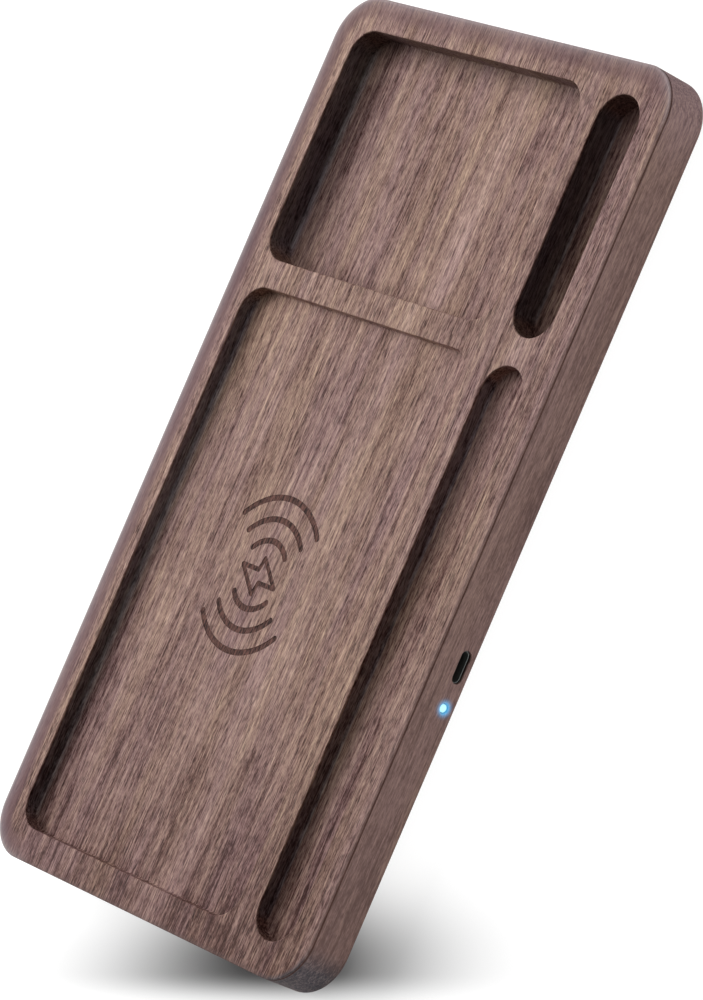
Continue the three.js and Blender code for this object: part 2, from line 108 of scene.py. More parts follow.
@dataclass(frozen=True)
class Plan:
    """Rounded rectangle; where its radius is half of both sides it is a disc."""

    left: float
    right: float
    near: float
    far: float
    radius: float
    steps: int = 12

    @classmethod
    def about(cls, x: float, y: float, width: float, length: float, radius: float, steps: int = 12) -> "Plan":
        """The plan about a middle.

        Args:
            x: Middle across.
            y: Middle along.
            width: Whole size across.
            length: Whole size along.
            radius: Corner radius.
            steps: Facets in each corner.

        Returns:
            The plan.
        """
        return cls(x - width / 2, x + width / 2, y - length / 2, y + length / 2, radius, steps)

    @classmethod
    def disc(cls, x: float, y: float, radius: float, steps: int = 12) -> "Plan":
        """The disc of a radius about a middle."""
        return cls.about(x, y, 2 * radius, 2 * radius, radius, steps)

    def grown(self, by: float) -> "Plan":
        """The same plan, moved outwards all round."""
        sides = (self.left - by, self.right + by, self.near - by, self.far + by)
        return Plan(*sides, self.radius + by, self.steps)

    def ring(self, offset: float = 0.0) -> tuple[Array, Array]:
        """Outline of the plan.

        A point is the middle of its corner's circle plus (radius + offset) times the cosine and
        sine of its angle, which runs through a quarter turn in each of the four corners.

        Args:
            offset: Distance that the outline is moved outwards.

        Returns:
            The outline's points and the way that each faces, anticlockwise.
        """
        middle = np.array([(self.left + self.right) / 2, (self.near + self.far) / 2])
        half = np.array([(self.right - self.left) / 2, (self.far - self.near) / 2])
        corner = min(self.radius, half[0], half[1])
        quarters = np.arange(4)[:, None] + np.linspace(0, 1, self.steps + 1)[None, :]
        ways = np.column_stack([np.cos(quarters.ravel() * TURN / 4), np.sin(quarters.ravel() * TURN / 4)])
        signs = np.repeat(np.array([[1, 1], [-1, 1], [-1, -1], [1, -1]]), self.steps + 1, axis=0)
        return middle + signs * (half - corner) + (corner + offset) * ways, ways

    def outline(self, offset: float = 0.0) -> Array:
        """The outline's points alone."""
        return self.ring(offset)[0]


class Profile:
    """Line in the plane of out and up. A surface faces left of its travel where the side is 1."""

    def __init__(self, out: float, up: float, side: int) -> None:
        """Starts the line at a place, with the side on which the surface faces."""
        self.end = np.array([out, up], float)
        self.side = side
        self.rows: list[Array] = []

    @classmethod
    def side_of(cls, bottom: float, top: float, low: float, high: float, steps: int = 4) -> "Profile":
        """Side of a slab between two levels, with its lower and its upper edge rounded."""
        line = cls(-low, bottom, -1).bend(0, bottom + low, (-low, bottom + low), steps)
        return line.straight(0, top - high).bend(-high, top, (-high, top - high), steps)

    def straight(self, out: float, up: float) -> "Profile":
        """Goes straight to a place; the surface faces square to the way there."""
        target = np.array([out, up], float)
        way = (target - self.end) / np.linalg.norm(target - self.end)
        facing = self.side * np.array([-way[1], way[0]])
        self.rows.append(np.hstack([np.vstack([self.end, target]), np.vstack([facing, facing])]))
        self.end = target
        return self

    def bend(self, out: float, up: float, about: Pair, steps: int = 6) -> "Profile":
        """Goes round a circle's middle to a place, by the shorter way.

        The points are the middle plus the radius times the cosine and sine of evenly spaced
        angles, and the surface faces along or against those same directions.

        Args:
            out: Where the arc ends, outwards.
            up: Where the arc ends, upwards.
            about: Middle of the circle.
            steps: Facets along the arc.

        Returns:
            The profile itself, so that the line goes on.
        """
        centre = np.array(about)
        first, last = self.end - centre, np.array([out, up]) - centre
        start = math.atan2(first[1], first[0])
        sweep = (math.atan2(last[1], last[0]) - start + TURN / 2) % TURN - TURN / 2
        angles = start + sweep * np.linspace(0, 1, steps + 1)
        ways = np.column_stack([np.cos(angles), np.sin(angles)])
        radii = np.linspace(np.linalg.norm(first), np.linalg.norm(last), steps + 1)[:, None]
        self.rows.append(np.hstack([centre + radii * ways, -self.side * np.sign(sweep) * ways]))
        self.end = np.array([out, up], float)
        return self

    def table(self) -> Array:
        """All rows: out, up, and the two parts of the facing."""
        return np.vstack(self.rows)


def odd_crossings(places: Array, tails: Array, heads: Array) -> NDArray[np.bool_]:
    """Finds the places that lie inside closed outlines and outside their holes.

    A place is inside where a line from it towards the right crosses an odd number of edges. An edge
    is crossed where its ends lie on both sides of the line and the place lies on its left.

    Args:
        places: Places in the plane.
        tails: Where each edge starts.
        heads: Where it ends.

    Returns:
        True for each place inside.
    """
    across, up = (places[:, None] - tails).T
    run, rise = (heads - tails).T[..., None]
    straddles = (up < 0) != (up < rise)
    return (straddles & ((run * up > rise * across) == (rise > 0))).sum(axis=0) % 2 == 1


class Shell:
    """Patches of one piece, welded into one closed mesh with its own shading."""

    def __init__(self, lie: Lie = Lie.UPRIGHT) -> None:
        """Starts an empty shell that is drawn upright and lies as told."""
        self.lie = lie
        self.points: list[Array] = []
        self.facings: list[Array] = []
        self.marks: list[Array] = []
        self.quads: list[Faces] = []
        self.triangles: list[Faces] = []
        self.count = 0

    def add(self, points: Array, facings: Array, faces: Faces, mark: Mark) -> None:
        """Adds faces, each turned so that its edges run anticlockwise about its facing.

        Args:
            points: Places of the corners.
            facings: Way that the surface faces at each.
            faces: Three or four corners a face.
            mark: What the faces are marked as.
        """
        if self.lie is Lie.ALONG_X:
            points, facings = np.roll(points, 1, axis=1), np.roll(facings, 1, axis=1)
        corners = points[faces]
        across = np.cross(corners[:, 2] - corners[:, 0], corners[:, -1] - corners[:, 1])
        wrong = (across * facings[faces].sum(axis=1)).sum(axis=1) < 0
        faces = np.where(wrong[:, None], faces[:, ::-1], faces) + self.count
        (self.quads if faces.shape[1] == 4 else self.triangles).append(faces)
        self.points.append(points)
        self.facings.append(facings)
        self.marks.append(np.tile(mark.value, (len(points), 1)))
        self.count += len(points)

    def grid(
        self, points: Array, facings: Array | None = None, closed: bool = False, mark: Mark = Mark.NONE
    ) -> None:
        """Adds a surface given on a grid of two parameters.

        Without facings, the facing is the cross product of the surface's slopes along the
        columns and along the rows.

        Args:
            points: Rows by columns by three.
            facings: The same, or nothing.
            closed: Whether the last column joins the first.
            mark: What the faces are marked as.
        """
        rows, columns = points.shape[:2]
        if facings is None:
            around = np.roll(points, -1, axis=1) - np.roll(points, 1, axis=1)
            facings = np.cross(around if closed else np.gradient(points, axis=1), np.gradient(points, axis=0))
            facings /= np.maximum(np.linalg.norm(facings, axis=2, keepdims=True), TINY)
        index = np.arange(rows * columns).reshape(rows, columns)
        if closed:
            index = np.concatenate([index, index[:, :1]], axis=1)
        quads = np.stack([index[:-1, :-1], index[:-1, 1:], index[1:, 1:], index[1:, :-1]], axis=-1)
        self.add(points.reshape(-1, 3), facings.reshape(-1, 3), quads.reshape(-1, 4), mark)

    def sweep(self, plan: Plan, profile: Profile, closed: bool = True, mark: Mark = Mark.NONE) -> None:
        """Carries a profile round a plan.

        The surface at a row and a place is the plan's outline there, moved out by the row's
        offset and lifted to its height. It faces by the row's facing, turned to that place.

        Args:
            plan: Outline to follow.
            profile: Line to carry.
            closed: Whether the right-hand straight is covered too.
            mark: What the faces are marked as.
        """
        rows = profile.table()
        outline, ways = plan.ring()
        shape = (len(rows), len(outline), 1)
        level = np.broadcast_to(rows[:, 1, None, None], shape)
        tilt = np.broadcast_to(rows[:, 3, None, None], shape)
        points = np.concatenate([outline + rows[:, 0, None, None] * ways, level], axis=2)
        facings = np.concatenate([rows[:, 2, None, None] * ways, tilt], axis=2)
        self.grid(points, facings, closed, mark)

    def flat(self, loops: list[Array], facing: Place, mark: Mark = Mark.NONE) -> None:
        """Fills a flat outline; the further loops are its holes.

        Args:
            loops: Outlines, each a list of places.
            facing: Way that the face looks.
            mark: What the face is marked as.
        """
        kept = [loop[np.linalg.norm(loop - np.roll(loop, 1, axis=0), axis=1) > WELD / MM] for loop in loops]
        points = np.concatenate(kept)
        plane = np.delete(points, np.argmax(np.abs(facing)), axis=1)
        ends = np.cumsum([len(loop) for loop in kept])
        following = np.arange(1, len(points) + 1)
        following[ends - 1] = [0, *ends[:-1]]
        edges = list(enumerate(following.tolist()))
        places = [Vector(point) for point in plane]
        triangles = np.array(delaunay_2d_cdt(places, edges, [], 0, SAME, False)[2])
        triangles = triangles[odd_crossings(plane[triangles].mean(axis=1), plane, plane[following])]
        self.add(points, np.tile(np.array(facing, float), (len(points), 1)), triangles, mark)

    def level(self, outlines: list[Array], height: float, looks: int, mark: Mark = Mark.NONE) -> None:
        """Fills outlines at one height, looking up for 1 and down for -1."""
        loops = [np.column_stack([outline, np.full(len(outline), height)]) for outline in outlines]
        self.flat(loops, (0, 0, looks), mark)

    def slab(
        self, plan: Plan, bottom: float, top: float, low: float, high: float, mark: Mark = Mark.NONE
    ) -> None:
        """Adds a closed slab with rounded edges.

        Args:
            plan: Outline of the slab.
            bottom: Lower level.
            top: Upper level.
            low: Rounding of the lower edge.
            high: Rounding of the upper edge.
            mark: What the faces are marked as.
        """
        self.sweep(plan, Profile.side_of(bottom, top, low, high), mark=mark)
        self.level([plan.outline(-low)], bottom, -1, mark)
        self.level([plan.outline(-high)], top, 1, mark)

    def build(self, name: str, material: bpy.types.Material) -> bpy.types.Object:
        """Welds the patches and makes the piece, in metres, at the origin.

        Args:
            name: Name of the piece.
            material: Its finish.

        Returns:
            The piece.
        """
        mesh = bpy.data.meshes.new(name)
        faces = [row for group in (*self.quads, *self.triangles) for row in group.tolist()]
        mesh.from_pydata((np.concatenate(self.points) * MM).tolist(), [], faces)
        corners = np.empty(len(mesh.loops), np.int32)
        mesh.loops.foreach_get("vertex_index", corners)
        for key, values in (("facing", self.facings), ("marks", self.marks)):
            held = mesh.attributes.new(key, "FLOAT_VECTOR", "CORNER")
            held.data.foreach_set("vector", np.concatenate(values)[corners].ravel())
        work = bmesh.new()
        work.from_mesh(mesh)
        bmesh.ops.remove_doubles(work, verts=work.verts, dist=WELD)
        bmesh.ops.recalc_face_normals(work, faces=work.faces)
        gaps = sum(len(edge.link_faces) != 2 for edge in work.edges)
        work.to_mesh(mesh)
        work.free()
        if gaps:
            log.warning("%s: %d edges are open", name, gaps)
        facings, squares = np.empty(len(mesh.loops) * 3), np.empty(len(mesh.polygons) * 3)
        sides = np.empty(len(mesh.polygons), np.int32)
        mesh.attributes["facing"].data.foreach_get("vector", facings)
        mesh.polygons.foreach_get("normal", squares)
        mesh.polygons.foreach_get("loop_total", sides)
        mesh.attributes.remove(mesh.attributes["facing"])
        facings, squares = facings.reshape(-1, 3), np.repeat(squares.reshape(-1, 3), sides, axis=0)
        facings *= np.where((facings * squares).sum(axis=1) < 0, -1, 1)[:, None]
        mesh.shade_smooth()
        mesh.normals_split_custom_set(facings.tolist())
        mesh.materials.append(material)
        piece = bpy.data.objects.new(name, mesh)
        bpy.context.scene.collection.objects.link(piece)
        return piece

    def seat(self, name: str, material: bpy.types.Material, slot: str, *nodes: str) -> bpy.types.Object:
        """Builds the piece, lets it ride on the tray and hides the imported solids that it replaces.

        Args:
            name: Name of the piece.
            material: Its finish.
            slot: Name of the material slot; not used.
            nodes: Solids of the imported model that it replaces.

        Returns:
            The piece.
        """
        piece = self.build(name, material)
        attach(piece, BODY)
        if nodes:
            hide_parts(*nodes)
        log.info("%s: %d faces", name, len(piece.data.polygons))
        return piece


# Finishes


class Recipe:
    """A material being mixed; each call adds nodes and returns their output."""

    def __init__(self, name: str) -> None:
        """Starts a material with its shader and the piece's own coordinates."""
        self.material = bpy.data.materials.new(name)
        self.material.use_nodes = True
        self.tree = self.material.node_tree
        self.shader = self.tree.nodes["Principled BSDF"]
        self.place: Output = self.node("ShaderNodeTexCoord", {}).outputs["Object"]

    def node(self, kind: str, inputs: dict[str | int, Value], **settings: object) -> bpy.types.Node:
        """Adds a node.

        Args:
            kind: Blender's name of the node.
            inputs: What goes into its sockets, as a number, a colour or another output.
            settings: Its options.

        Returns:
            The node.
        """
        made = self.tree.nodes.new(kind)
        for key, option in settings.items():
            setattr(made, key, option)
        for key, source in inputs.items():
            self.join(source, made.inputs[key])
        return made

    def join(self, source: Value, target: Output) -> None:
        """Links an output to a socket, or sets the socket."""
        if isinstance(source, bpy.types.NodeSocket):
            self.tree.links.new(source, target)
        else:
            target.default_value = source

    def scaled(self, x: float, y: float, z: float, place: Output | None = None) -> Output:
        """Coordinates counted in features per metre along each axis."""
        source = self.place if place is None else place
        return self.node("ShaderNodeMapping", {"Vector": source, "Scale": (x, y, z)}).outputs[0]

    def noise(self, place: Output, detail: float = 2.0, rough: float = 0.5, output: str = "Fac") -> Output:
        """Cloudy noise from 0 to 1."""
        inputs = {"Vector": place, "Scale": 1.0, "Detail": detail, "Roughness": rough}
        return self.node("ShaderNodeTexNoise", inputs).outputs[output]

    def cloud(self, scale: float, detail: float = 2.0) -> Output:
        """Noise with as many features per metre along every axis."""
        return self.noise(self.scaled(scale, scale, scale), detail)

    def cells(self, place: Output, randomness: float = 1.0, distance: str = "EUCLIDEAN") -> bpy.types.Node:
        """Node that gives the distance to, and a colour of, the nearest of scattered points."""
        inputs = {"Vector": place, "Scale": 1.0, "Randomness": randomness}
        return self.node("ShaderNodeTexVoronoi", inputs, distance=distance)

    def sum(self, operation: str, first: Value, second: Value = 0.0, third: Value = 0.0) -> Output:
        """One sum on numbers."""
        return self.node("ShaderNodeMath", {0: first, 1: second, 2: third}, operation=operation).outputs[0]

    def vector(self, operation: str, first: Value, second: Value = (0.0, 0.0, 0.0)) -> Output:
        """One sum on vectors."""
        return self.node("ShaderNodeVectorMath", {0: first, 1: second}, operation=operation).outputs[0]

    def away(self, place: Output, middle: Place = (0.0, 0.0, 0.0)) -> Output:
        """Distance of a place from a middle."""
        made = self.node("ShaderNodeVectorMath", {0: place, 1: middle}, operation="DISTANCE")
        return made.outputs["Value"]

    def axes(self, place: Output | None = None) -> list[Output]:
        """X, Y and Z of a place, or of the piece's own coordinates."""
        return list(self.node("ShaderNodeSeparateXYZ", {0: self.place if place is None else place}).outputs)

    def fit(
        self, source: Output, low: float, high: float, to_low: float = 0.0, to_high: float = 1.0
    ) -> Output:
        """Stretches a range of numbers to another, held at both ends."""
        inputs = {"Value": source, 1: low, 2: high, 3: to_low, 4: to_high}
        return self.node("ShaderNodeMapRange", inputs).outputs[0]

    def spread(self, noise: Output, low: float, high: float) -> Output:
        """Stretches the middle of a noise, where nearly all of it lies, to a range."""
        return self.fit(noise, 0.3, 0.7, low, high)

    def ramp(self, source: Output, stops: list[tuple[float, Colour]]) -> Output:
        """Colours along a range."""
        made = self.node("ShaderNodeValToRGB", {"Fac": source})
        strip = made.color_ramp.elements
        while len(strip) < len(stops):
            strip.new(0.5)
        for held, (at, colour) in zip(strip, stops):
            held.position, held.color = at, colour
        return made.outputs["Color"]

    def paints(self, source: Output, stops: Paints) -> Output:
        """Paints along a range."""
        return self.ramp(source, [(at, shade(*paint)) for at, paint in stops])

    def mix(self, share: Value, first: Value, second: Value, how: str = "MIX") -> Output:
        """Mixes two colours."""
        made = self.node("ShaderNodeMix", {0: share, 6: first, 7: second}, data_type="RGBA", blend_type=how)
        return made.outputs[2]

    def dim(self, colour: Value, amount: Value) -> Output:
        """Multiplies a colour by a number."""
        grey = self.node("ShaderNodeCombineColor", {0: amount, 1: amount, 2: amount}).outputs[0]
        return self.mix(1.0, colour, grey, "MULTIPLY")

    def bump(self, height: Output, distance: float, strength: float) -> Output:
        """Relief of a height given in shares of a distance in metres."""
        inputs = {"Height": height, "Distance": distance, "Strength": strength}
        return self.node("ShaderNodeBump", inputs).outputs[0]

    def marks(self) -> dict[Mark, Output]:
        """How far each mark covers the surface."""
        held = self.node("ShaderNodeAttribute", {}, attribute_name="marks").outputs["Vector"]
        return dict(zip((Mark.BURNT, Mark.ARRIS, Mark.METAL), self.axes(held)))

    def done(self, **inputs: Value) -> bpy.types.Material:
        """Joins the shader's sockets, named with underscores, and gives the material."""
        for key, source in inputs.items():
            self.join(source, self.shader.inputs[key.replace("_", " ")])
        return self.material


@dataclass(frozen=True)
class Layer:
    """One noise in the wood: features per metre along X, Y and Z, and its share in the lightness."""

    scale: Place
    share: float
    detail: float = 2.0
    rough: float = 0.6


@dataclass(frozen=True)
class Walnut:
    """Oiled walnut: streaks, short dashes, pores and soft patches, all solid along Y.

    The pattern is worked out in the wood's volume, so the top, the sides and the end grain
    belong to one board whose grain runs along Y. Places and reaches are in metres.
    """

    half_width: float = 0.07
    half_length: float = 0.125
    corner: float = 0.013
    soft: float = 0.0004
    patches: Layer = Layer((95, 22, 95), 0.55, 2.0, 0.55)
    streaks: Layer = Layer((700, 8, 700), 1.05, 3.0)
    strands: Layer = Layer((700, 70, 700), 0.45)
    lines: Layer = Layer((1700, 50, 1700), 0.9)
    dashes: Layer = Layer((2300, 220, 2300), 1.1, 1.0)
    flecks: Layer = Layer((3000, 800, 3000), 0.85, 1.0)
    mottle: Layer = Layer((70, 210, 70), 0.25, 2.0, 0.5)
    sway: Layer = Layer((9, 4, 9), 0.0022, 1.0, 0.5)
    tones: Paints = (
        (0.0, (73, 48, 44)),
        (0.2, (113, 84, 80)),
        (0.38, (138, 110, 104)),
        (0.5, (152, 123, 116)),
        (0.62, (162, 133, 125)),
        (0.8, (178, 149, 138)),
        (1.0, (198, 169, 155)),
    )
    bands: Pairs = (
        (-0.07, 0.44),
        (-0.064, 0.56),
        (-0.06, 0.52),
        (-0.045, 0.55),
        (-0.034, 0.49),
        (-0.003, 0.49),
        (0.002, 0.63),
        (0.008, 0.62),
        (0.013, 0.47),
        (0.06, 0.48),
    )
    near_reach: float = -0.05
    near_drop: float = -0.26
    whole: Paint = (152, 123, 116)
    tan: Paint = (164, 132, 112)
    mauve: Paint = (154, 121, 120)
    lean_scale: Place = (110, 12, 110)
    lean_place: Place = (3.1, 1.7, 2.3)
    lean_share: float = 0.55
    pore_scale: Place = (1100, 210, 1100)
    fine_pore_scale: Place = (2800, 300, 2800)
    pore_shade: float = 0.5
    # Blocks of the deep recesses that get painted shade, and how much.
    pocket: Pairs = ((-0.063, 0.063), (0.0445, 0.1195), (0.0071, 0.0148))
    slot: Pairs = ((0.0445, 0.0615), (0.0445, 0.1195), (0.0055, 0.0148))
    far_end: Pairs = ((-0.063, 0.04), (0.1, 0.1195), (0.0065, 0.0148))
    recess_shade_shares: Place = (0.4, 0.45, 0.85)
    recess_shade_end: Pair = (0.108, 0.116)
    recess_shade_dim: float = 0.5
    # Left walls of the recesses, whose shaded wood is painted greyer, and the grey tint.
    left_walls: Pairs = ((-0.0612, 0.003), (0.0448, 0.0014))
    wall_span: Pairs = ((-0.118, 0.1175), (0.0065, 0.0148))
    wall_shade_tint: Colour = (0.85, 1.13, 1.4, 1.0)
    # Side colour along Y, with painted shade at the near end and painted light at the far end.
    sides: Paints = (
        (0.012, (118, 97, 93)),
        (0.04, (138, 113, 107)),
        (0.9, (138, 113, 107)),
        (0.988, (158, 133, 136)),
    )
    side_calm: float = 0.7
    side_rim: float = 0.0014
    # Low corner of the sides, painted in grey shade.
    low_corner: Place = (0.065, -0.1222, 0.0)
    low_reach: Pair = (0.0045, 0.0112)
    low_corner_shade: Paint = (84, 90, 97)
    # Painted sheen of the top's left and far edge: grey highlight at the rim, violet shade within.
    shoulder_sheen: Paints = (
        (0.1, (172, 162, 164)),
        (0.2, (142, 128, 132)),
        (0.4, (128, 107, 112)),
        (0.7, (115, 88, 91)),
    )
    shoulder_sheen_width: float = 0.005
    char: Paint = (78, 52, 46)
    char_scale: Place = (1500, 420, 1500)
    arris: Paint = (78, 53, 47)
    arris_share: float = 0.85
    relief: float = 0.0001
    light_middle: Place = (0.07, -0.0452, 0.0055)
    light_reach: Pair = (0.0009, 0.0036)
    light_spill: float = 1.2
    light_colour: Paint = (60, 190, 255)

    def make(self) -> bpy.types.Material:
        """Mixes the walnut, from the board's own grain to the burn, the dark arris and the painted shade,
        sheen and light.

        Returns:
            The material.
        """
        mix = Recipe("walnut")
        push = mix.vector("SUBTRACT", self._layer(mix, self.sway, mix.place, "Color"), (0.5, 0.5, 0.5))
        wood = mix.vector("ADD", mix.place, mix.vector("MULTIPLY", push, (self.sway.share,) * 3))
        tone, dashes = self._tone(mix, wood)
        pores, depth = self._pores(mix, wood)
        colour = self._tints(mix, wood, mix.paints(tone, self.tones))
        colour = mix.dim(colour, mix.fit(pores, 0.0, 1.0, 1.0, self.pore_shade))
        # Painted shade darkens the deep recesses.
        colour = mix.dim(colour, mix.fit(self._recess_shade(mix), 0.0, 1.0, 1.0, self.recess_shade_dim))
        # Painted shade: the shaded left walls are tinted greyer.
        colour = mix.mix(self._left_wall_shade(mix), colour, mix.mix(1.0, colour, self.wall_shade_tint, "MULTIPLY"))
        inset = self._inset(mix)
        side_share = mix.fit(inset, 0.0, self.side_rim, self.side_calm, 0.0)
        # The sides take their calm colour with its painted shade and light.
        colour = mix.mix(side_share, colour, self._side(mix, tone))
        # Painted sheen along the top's left and far edge.
        colour = self._shoulder_sheen(mix, inset, colour)
        marks = mix.marks()
        burn = mix.fit(mix.noise(mix.scaled(*self.char_scale, wood), 2.0, 0.6), 0.38, 0.64, 0.3, 2.2)
        colour = mix.mix(marks[Mark.BURNT], colour, mix.dim(shade(*self.char), burn))
        # The groove under the top edge is painted dark.
        arris_dark = mix.dim(shade(*self.arris), mix.spread(dashes, 0.8, 1.2))
        colour = mix.mix(mix.sum("MULTIPLY", marks[Mark.ARRIS], self.arris_share), colour, arris_dark)
        height = mix.sum("MULTIPLY_ADD", depth, -1.0, mix.sum("MULTIPLY", dashes, 0.35))
        return mix.done(
            Base_Color=colour,
            Roughness=mix.fit(dashes, 0.2, 0.8, 0.62, 0.76),
            Specular_IOR_Level=0.04,
            Normal=mix.bump(height, self.relief, 0.7),
            Emission_Color=shade(*self.light_colour),
            Emission_Strength=self._spill(mix),
        )

    def _layer(self, mix: Recipe, layer: Layer, place: Output, output: str = "Fac") -> Output:
        """The noise of a layer at a place."""
        return mix.noise(mix.scaled(*layer.scale, place), layer.detail, layer.rough, output)

    def _tone(self, mix: Recipe, wood: Output) -> tuple[Output, Output]:
        """Lightness of the wood: layers of falling size along the grain, broad bands and a darker near end.

        Returns:
            The lightness, from 0 to 1, and its fine dashes alone.
        """
        dashes = self._layer(mix, self.dashes, wood)
        noises = [(dashes, self.dashes.share), (self._layer(mix, self.mottle, mix.place), self.mottle.share)]
        for layer in (self.patches, self.streaks, self.strands, self.lines, self.flecks):
            noises.append((self._layer(mix, layer, wood), layer.share))
        x, y, _ = mix.axes(wood)
        across = mix.fit(x, -self.half_width, self.half_width)
        stops = [(0.5 + at / (2 * self.half_width), (light, light, light, 1.0)) for at, light in self.bands]
        noises.append((mix.ramp(across, stops), 1.0))
        tone: Output = mix.fit(y, -self.half_length, self.near_reach, 0.5 + self.near_drop, 0.5)
        for source, share in noises:
            tone = mix.sum("MULTIPLY_ADD", mix.sum("SUBTRACT", source, 0.5), share, tone)
        return tone, dashes

    def _tints(self, mix: Recipe, wood: Output, colour: Output) -> Output:
        """Leans parts of the wood towards tan and others towards mauve, at unchanged lightness."""
        place = mix.scaled(*self.lean_scale, mix.vector("ADD", wood, self.lean_place))
        cool = mix.fit(mix.noise(place, 3.0, 0.55), 0.36, 0.64)
        leans = [
            tuple(part / whole for part, whole in zip(shade(*paint), shade(*self.whole)))
            for paint in (self.tan, self.mauve)
        ]
        return mix.mix(self.lean_share, colour, mix.mix(1.0, colour, mix.mix(cool, *leans), "MULTIPLY"))

    def _pores(self, mix: Recipe, wood: Output) -> tuple[Output, Output]:
        """Pores: dashes about scattered points stretched along the grain, some of them deep.

        Returns:
            How dark the pores are, and how deep.
        """
        cells = mix.cells(mix.scaled(*self.pore_scale, wood)).outputs
        chosen = mix.fit(mix.axes(cells["Color"])[0], 0.35, 0.9)
        long = mix.sum("MULTIPLY", mix.fit(cells["Distance"], 0.14, 0.3, 1.0, 0.0), chosen)
        fine = mix.noise(mix.scaled(*self.fine_pore_scale, wood), 1.0)
        return mix.sum("MAXIMUM", long, mix.fit(fine, 0.545, 0.66, 0.0, 0.9)), long

    def _inset(self, mix: Recipe) -> Output:
        """How far a place lies in from the rounded outline, in metres, up to the corner's radius.

        It is the radius less the length of what lies beyond the corner's middle, taken for all four
        corners at once through the absolute values of X and Y.
        """
        middle = (self.half_width - self.corner, self.half_length - self.corner, 1.0)
        beyond = mix.vector("MAXIMUM", mix.vector("SUBTRACT", mix.vector("ABSOLUTE", mix.place), middle))
        return mix.sum("SUBTRACT", self.corner, mix.away(beyond))

    def _side(self, mix: Recipe, tone: Output) -> Output:
        """Calm side colour, painted darker at the near end and lighter at the far, with grey painted shade at
        the low corner.
        """
        side = mix.paints(mix.fit(mix.axes()[1], -self.half_length, self.half_length), self.sides)
        near = mix.fit(mix.away(mix.scaled(1, 1, 0), self.low_corner), *self.low_reach, 1.0, 0.0)
        return mix.dim(mix.mix(near, side, shade(*self.low_corner_shade)), mix.fit(tone, 0.2, 0.8, 0.8, 1.2))

    def _shoulder_sheen(self, mix: Recipe, inset: Output, colour: Output) -> Output:
        """Lays a calm strip of painted sheen along the top's left and far edge: violet shade within, a grey
        highlight at the rim.
        """
        x, y, z = mix.axes()
        share = mix.sum("MAXIMUM", mix.fit(x, -0.064, -0.05, 0.75, 0.0), mix.fit(y, 0.108, 0.12, 0.0, 0.5))
        for within in (mix.fit(inset, 0.0042, 0.0062, 1.0, 0.0), mix.fit(z, 0.0146, 0.0148)):
            share = mix.sum("MULTIPLY", share, within)
        return mix.mix(share, colour, mix.paints(mix.fit(inset, 0.0, self.shoulder_sheen_width), self.shoulder_sheen))

    def _recess_shade(self, mix: Recipe) -> Output:
        """How far shade is painted into the wood: in the pocket, most at its far end, and in the short slot.
        """
        pocket, slot, end = self.recess_shade_shares
        shade_share = mix.sum("MULTIPLY", self._within(mix, self.pocket), pocket)
        shade_share = mix.sum("MULTIPLY_ADD", self._within(mix, self.slot), slot, shade_share)
        along = mix.fit(mix.axes()[1], *self.recess_shade_end, 0.0, end)
        return mix.sum("MULTIPLY_ADD", self._within(mix, self.far_end), along, shade_share)

    def _left_wall_shade(self, mix: Recipe) -> Output:
        """How near a place is to the left wall of a recess, where the shaded wood is painted greyer."""
        near: Value = 0.0
        for wall, reach in self.left_walls:
            block = self._within(mix, ((wall - 0.001, wall + reach), *self.wall_span))
            fall = mix.fit(mix.axes()[0], wall + self.soft, wall + reach, 1.0, 0.0)
            near = mix.sum("MULTIPLY_ADD", block, fall, near)
        return near

    def _within(self, mix: Recipe, spans: Pairs) -> Output:
        """1 inside a block given by its spans along X, Y and Z, and 0 outside it."""
        inside: Value = 1.0
        for along, (low, high) in zip(mix.axes(), spans):
            inside = mix.sum("MULTIPLY", inside, mix.fit(along, low, low + self.soft))
            inside = mix.sum("MULTIPLY", inside, mix.fit(along, high - self.soft, high, 1.0, 0.0))
        return inside

    def _spill(self, mix: Recipe) -> Output:
        """Blue spill of the status light: it falls off with the cube of the distance."""
        near = mix.fit(mix.away(mix.place, self.light_middle), *self.light_reach, 1.0, 0.0)
        return mix.sum("MULTIPLY", mix.sum("POWER", near, 3.0), self.light_spill)


@dataclass(frozen=True)
class Moulded:
    """Moulded plastic or rubber with a fine spark-eroded grain."""

    name: str
    colour: Paint
    rough: float = 0.55
    grain: float = 2600.0
    depth: float = 0.00004

    def make(self) -> bpy.types.Material:
        """Mixes the plastic; the grain lifts the colour slightly where it stands up."""
        mix = Recipe(self.name)
        grain = mix.cloud(self.grain)
        light = mix.sum("MULTIPLY", mix.spread(grain, 0.86, 1.14), mix.spread(mix.cloud(90), 0.95, 1.05))
        return mix.done(
            Base_Color=mix.dim(shade(*self.colour), light),
            Roughness=mix.spread(grain, self.rough - 0.06, self.rough + 0.08),
            Normal=mix.bump(grain, self.depth, 0.6),
        )


@dataclass(frozen=True)
class Metal:
    """Bare or plated metal with fine drawn lines along one axis."""

    name: str
    colour: Paint
    rough: float = 0.3
    drawn: Place = (300.0, 4000.0, 4000.0)
    stain: float = 260.0
    depth: float = 0.00002

    def make(self) -> bpy.types.Material:
        """Mixes the metal."""
        mix = Recipe(self.name)
        lines = mix.noise(mix.scaled(*self.drawn), 3.0, 0.6)
        return mix.done(
            Base_Color=mix.dim(shade(*self.colour), mix.spread(mix.cloud(self.stain, 3.0), 0.84, 1.06)),
            Metallic=1.0,
            Roughness=mix.spread(lines, self.rough - 0.08, self.rough + 0.12),
            Normal=mix.bump(lines, self.depth, 0.5),
        )


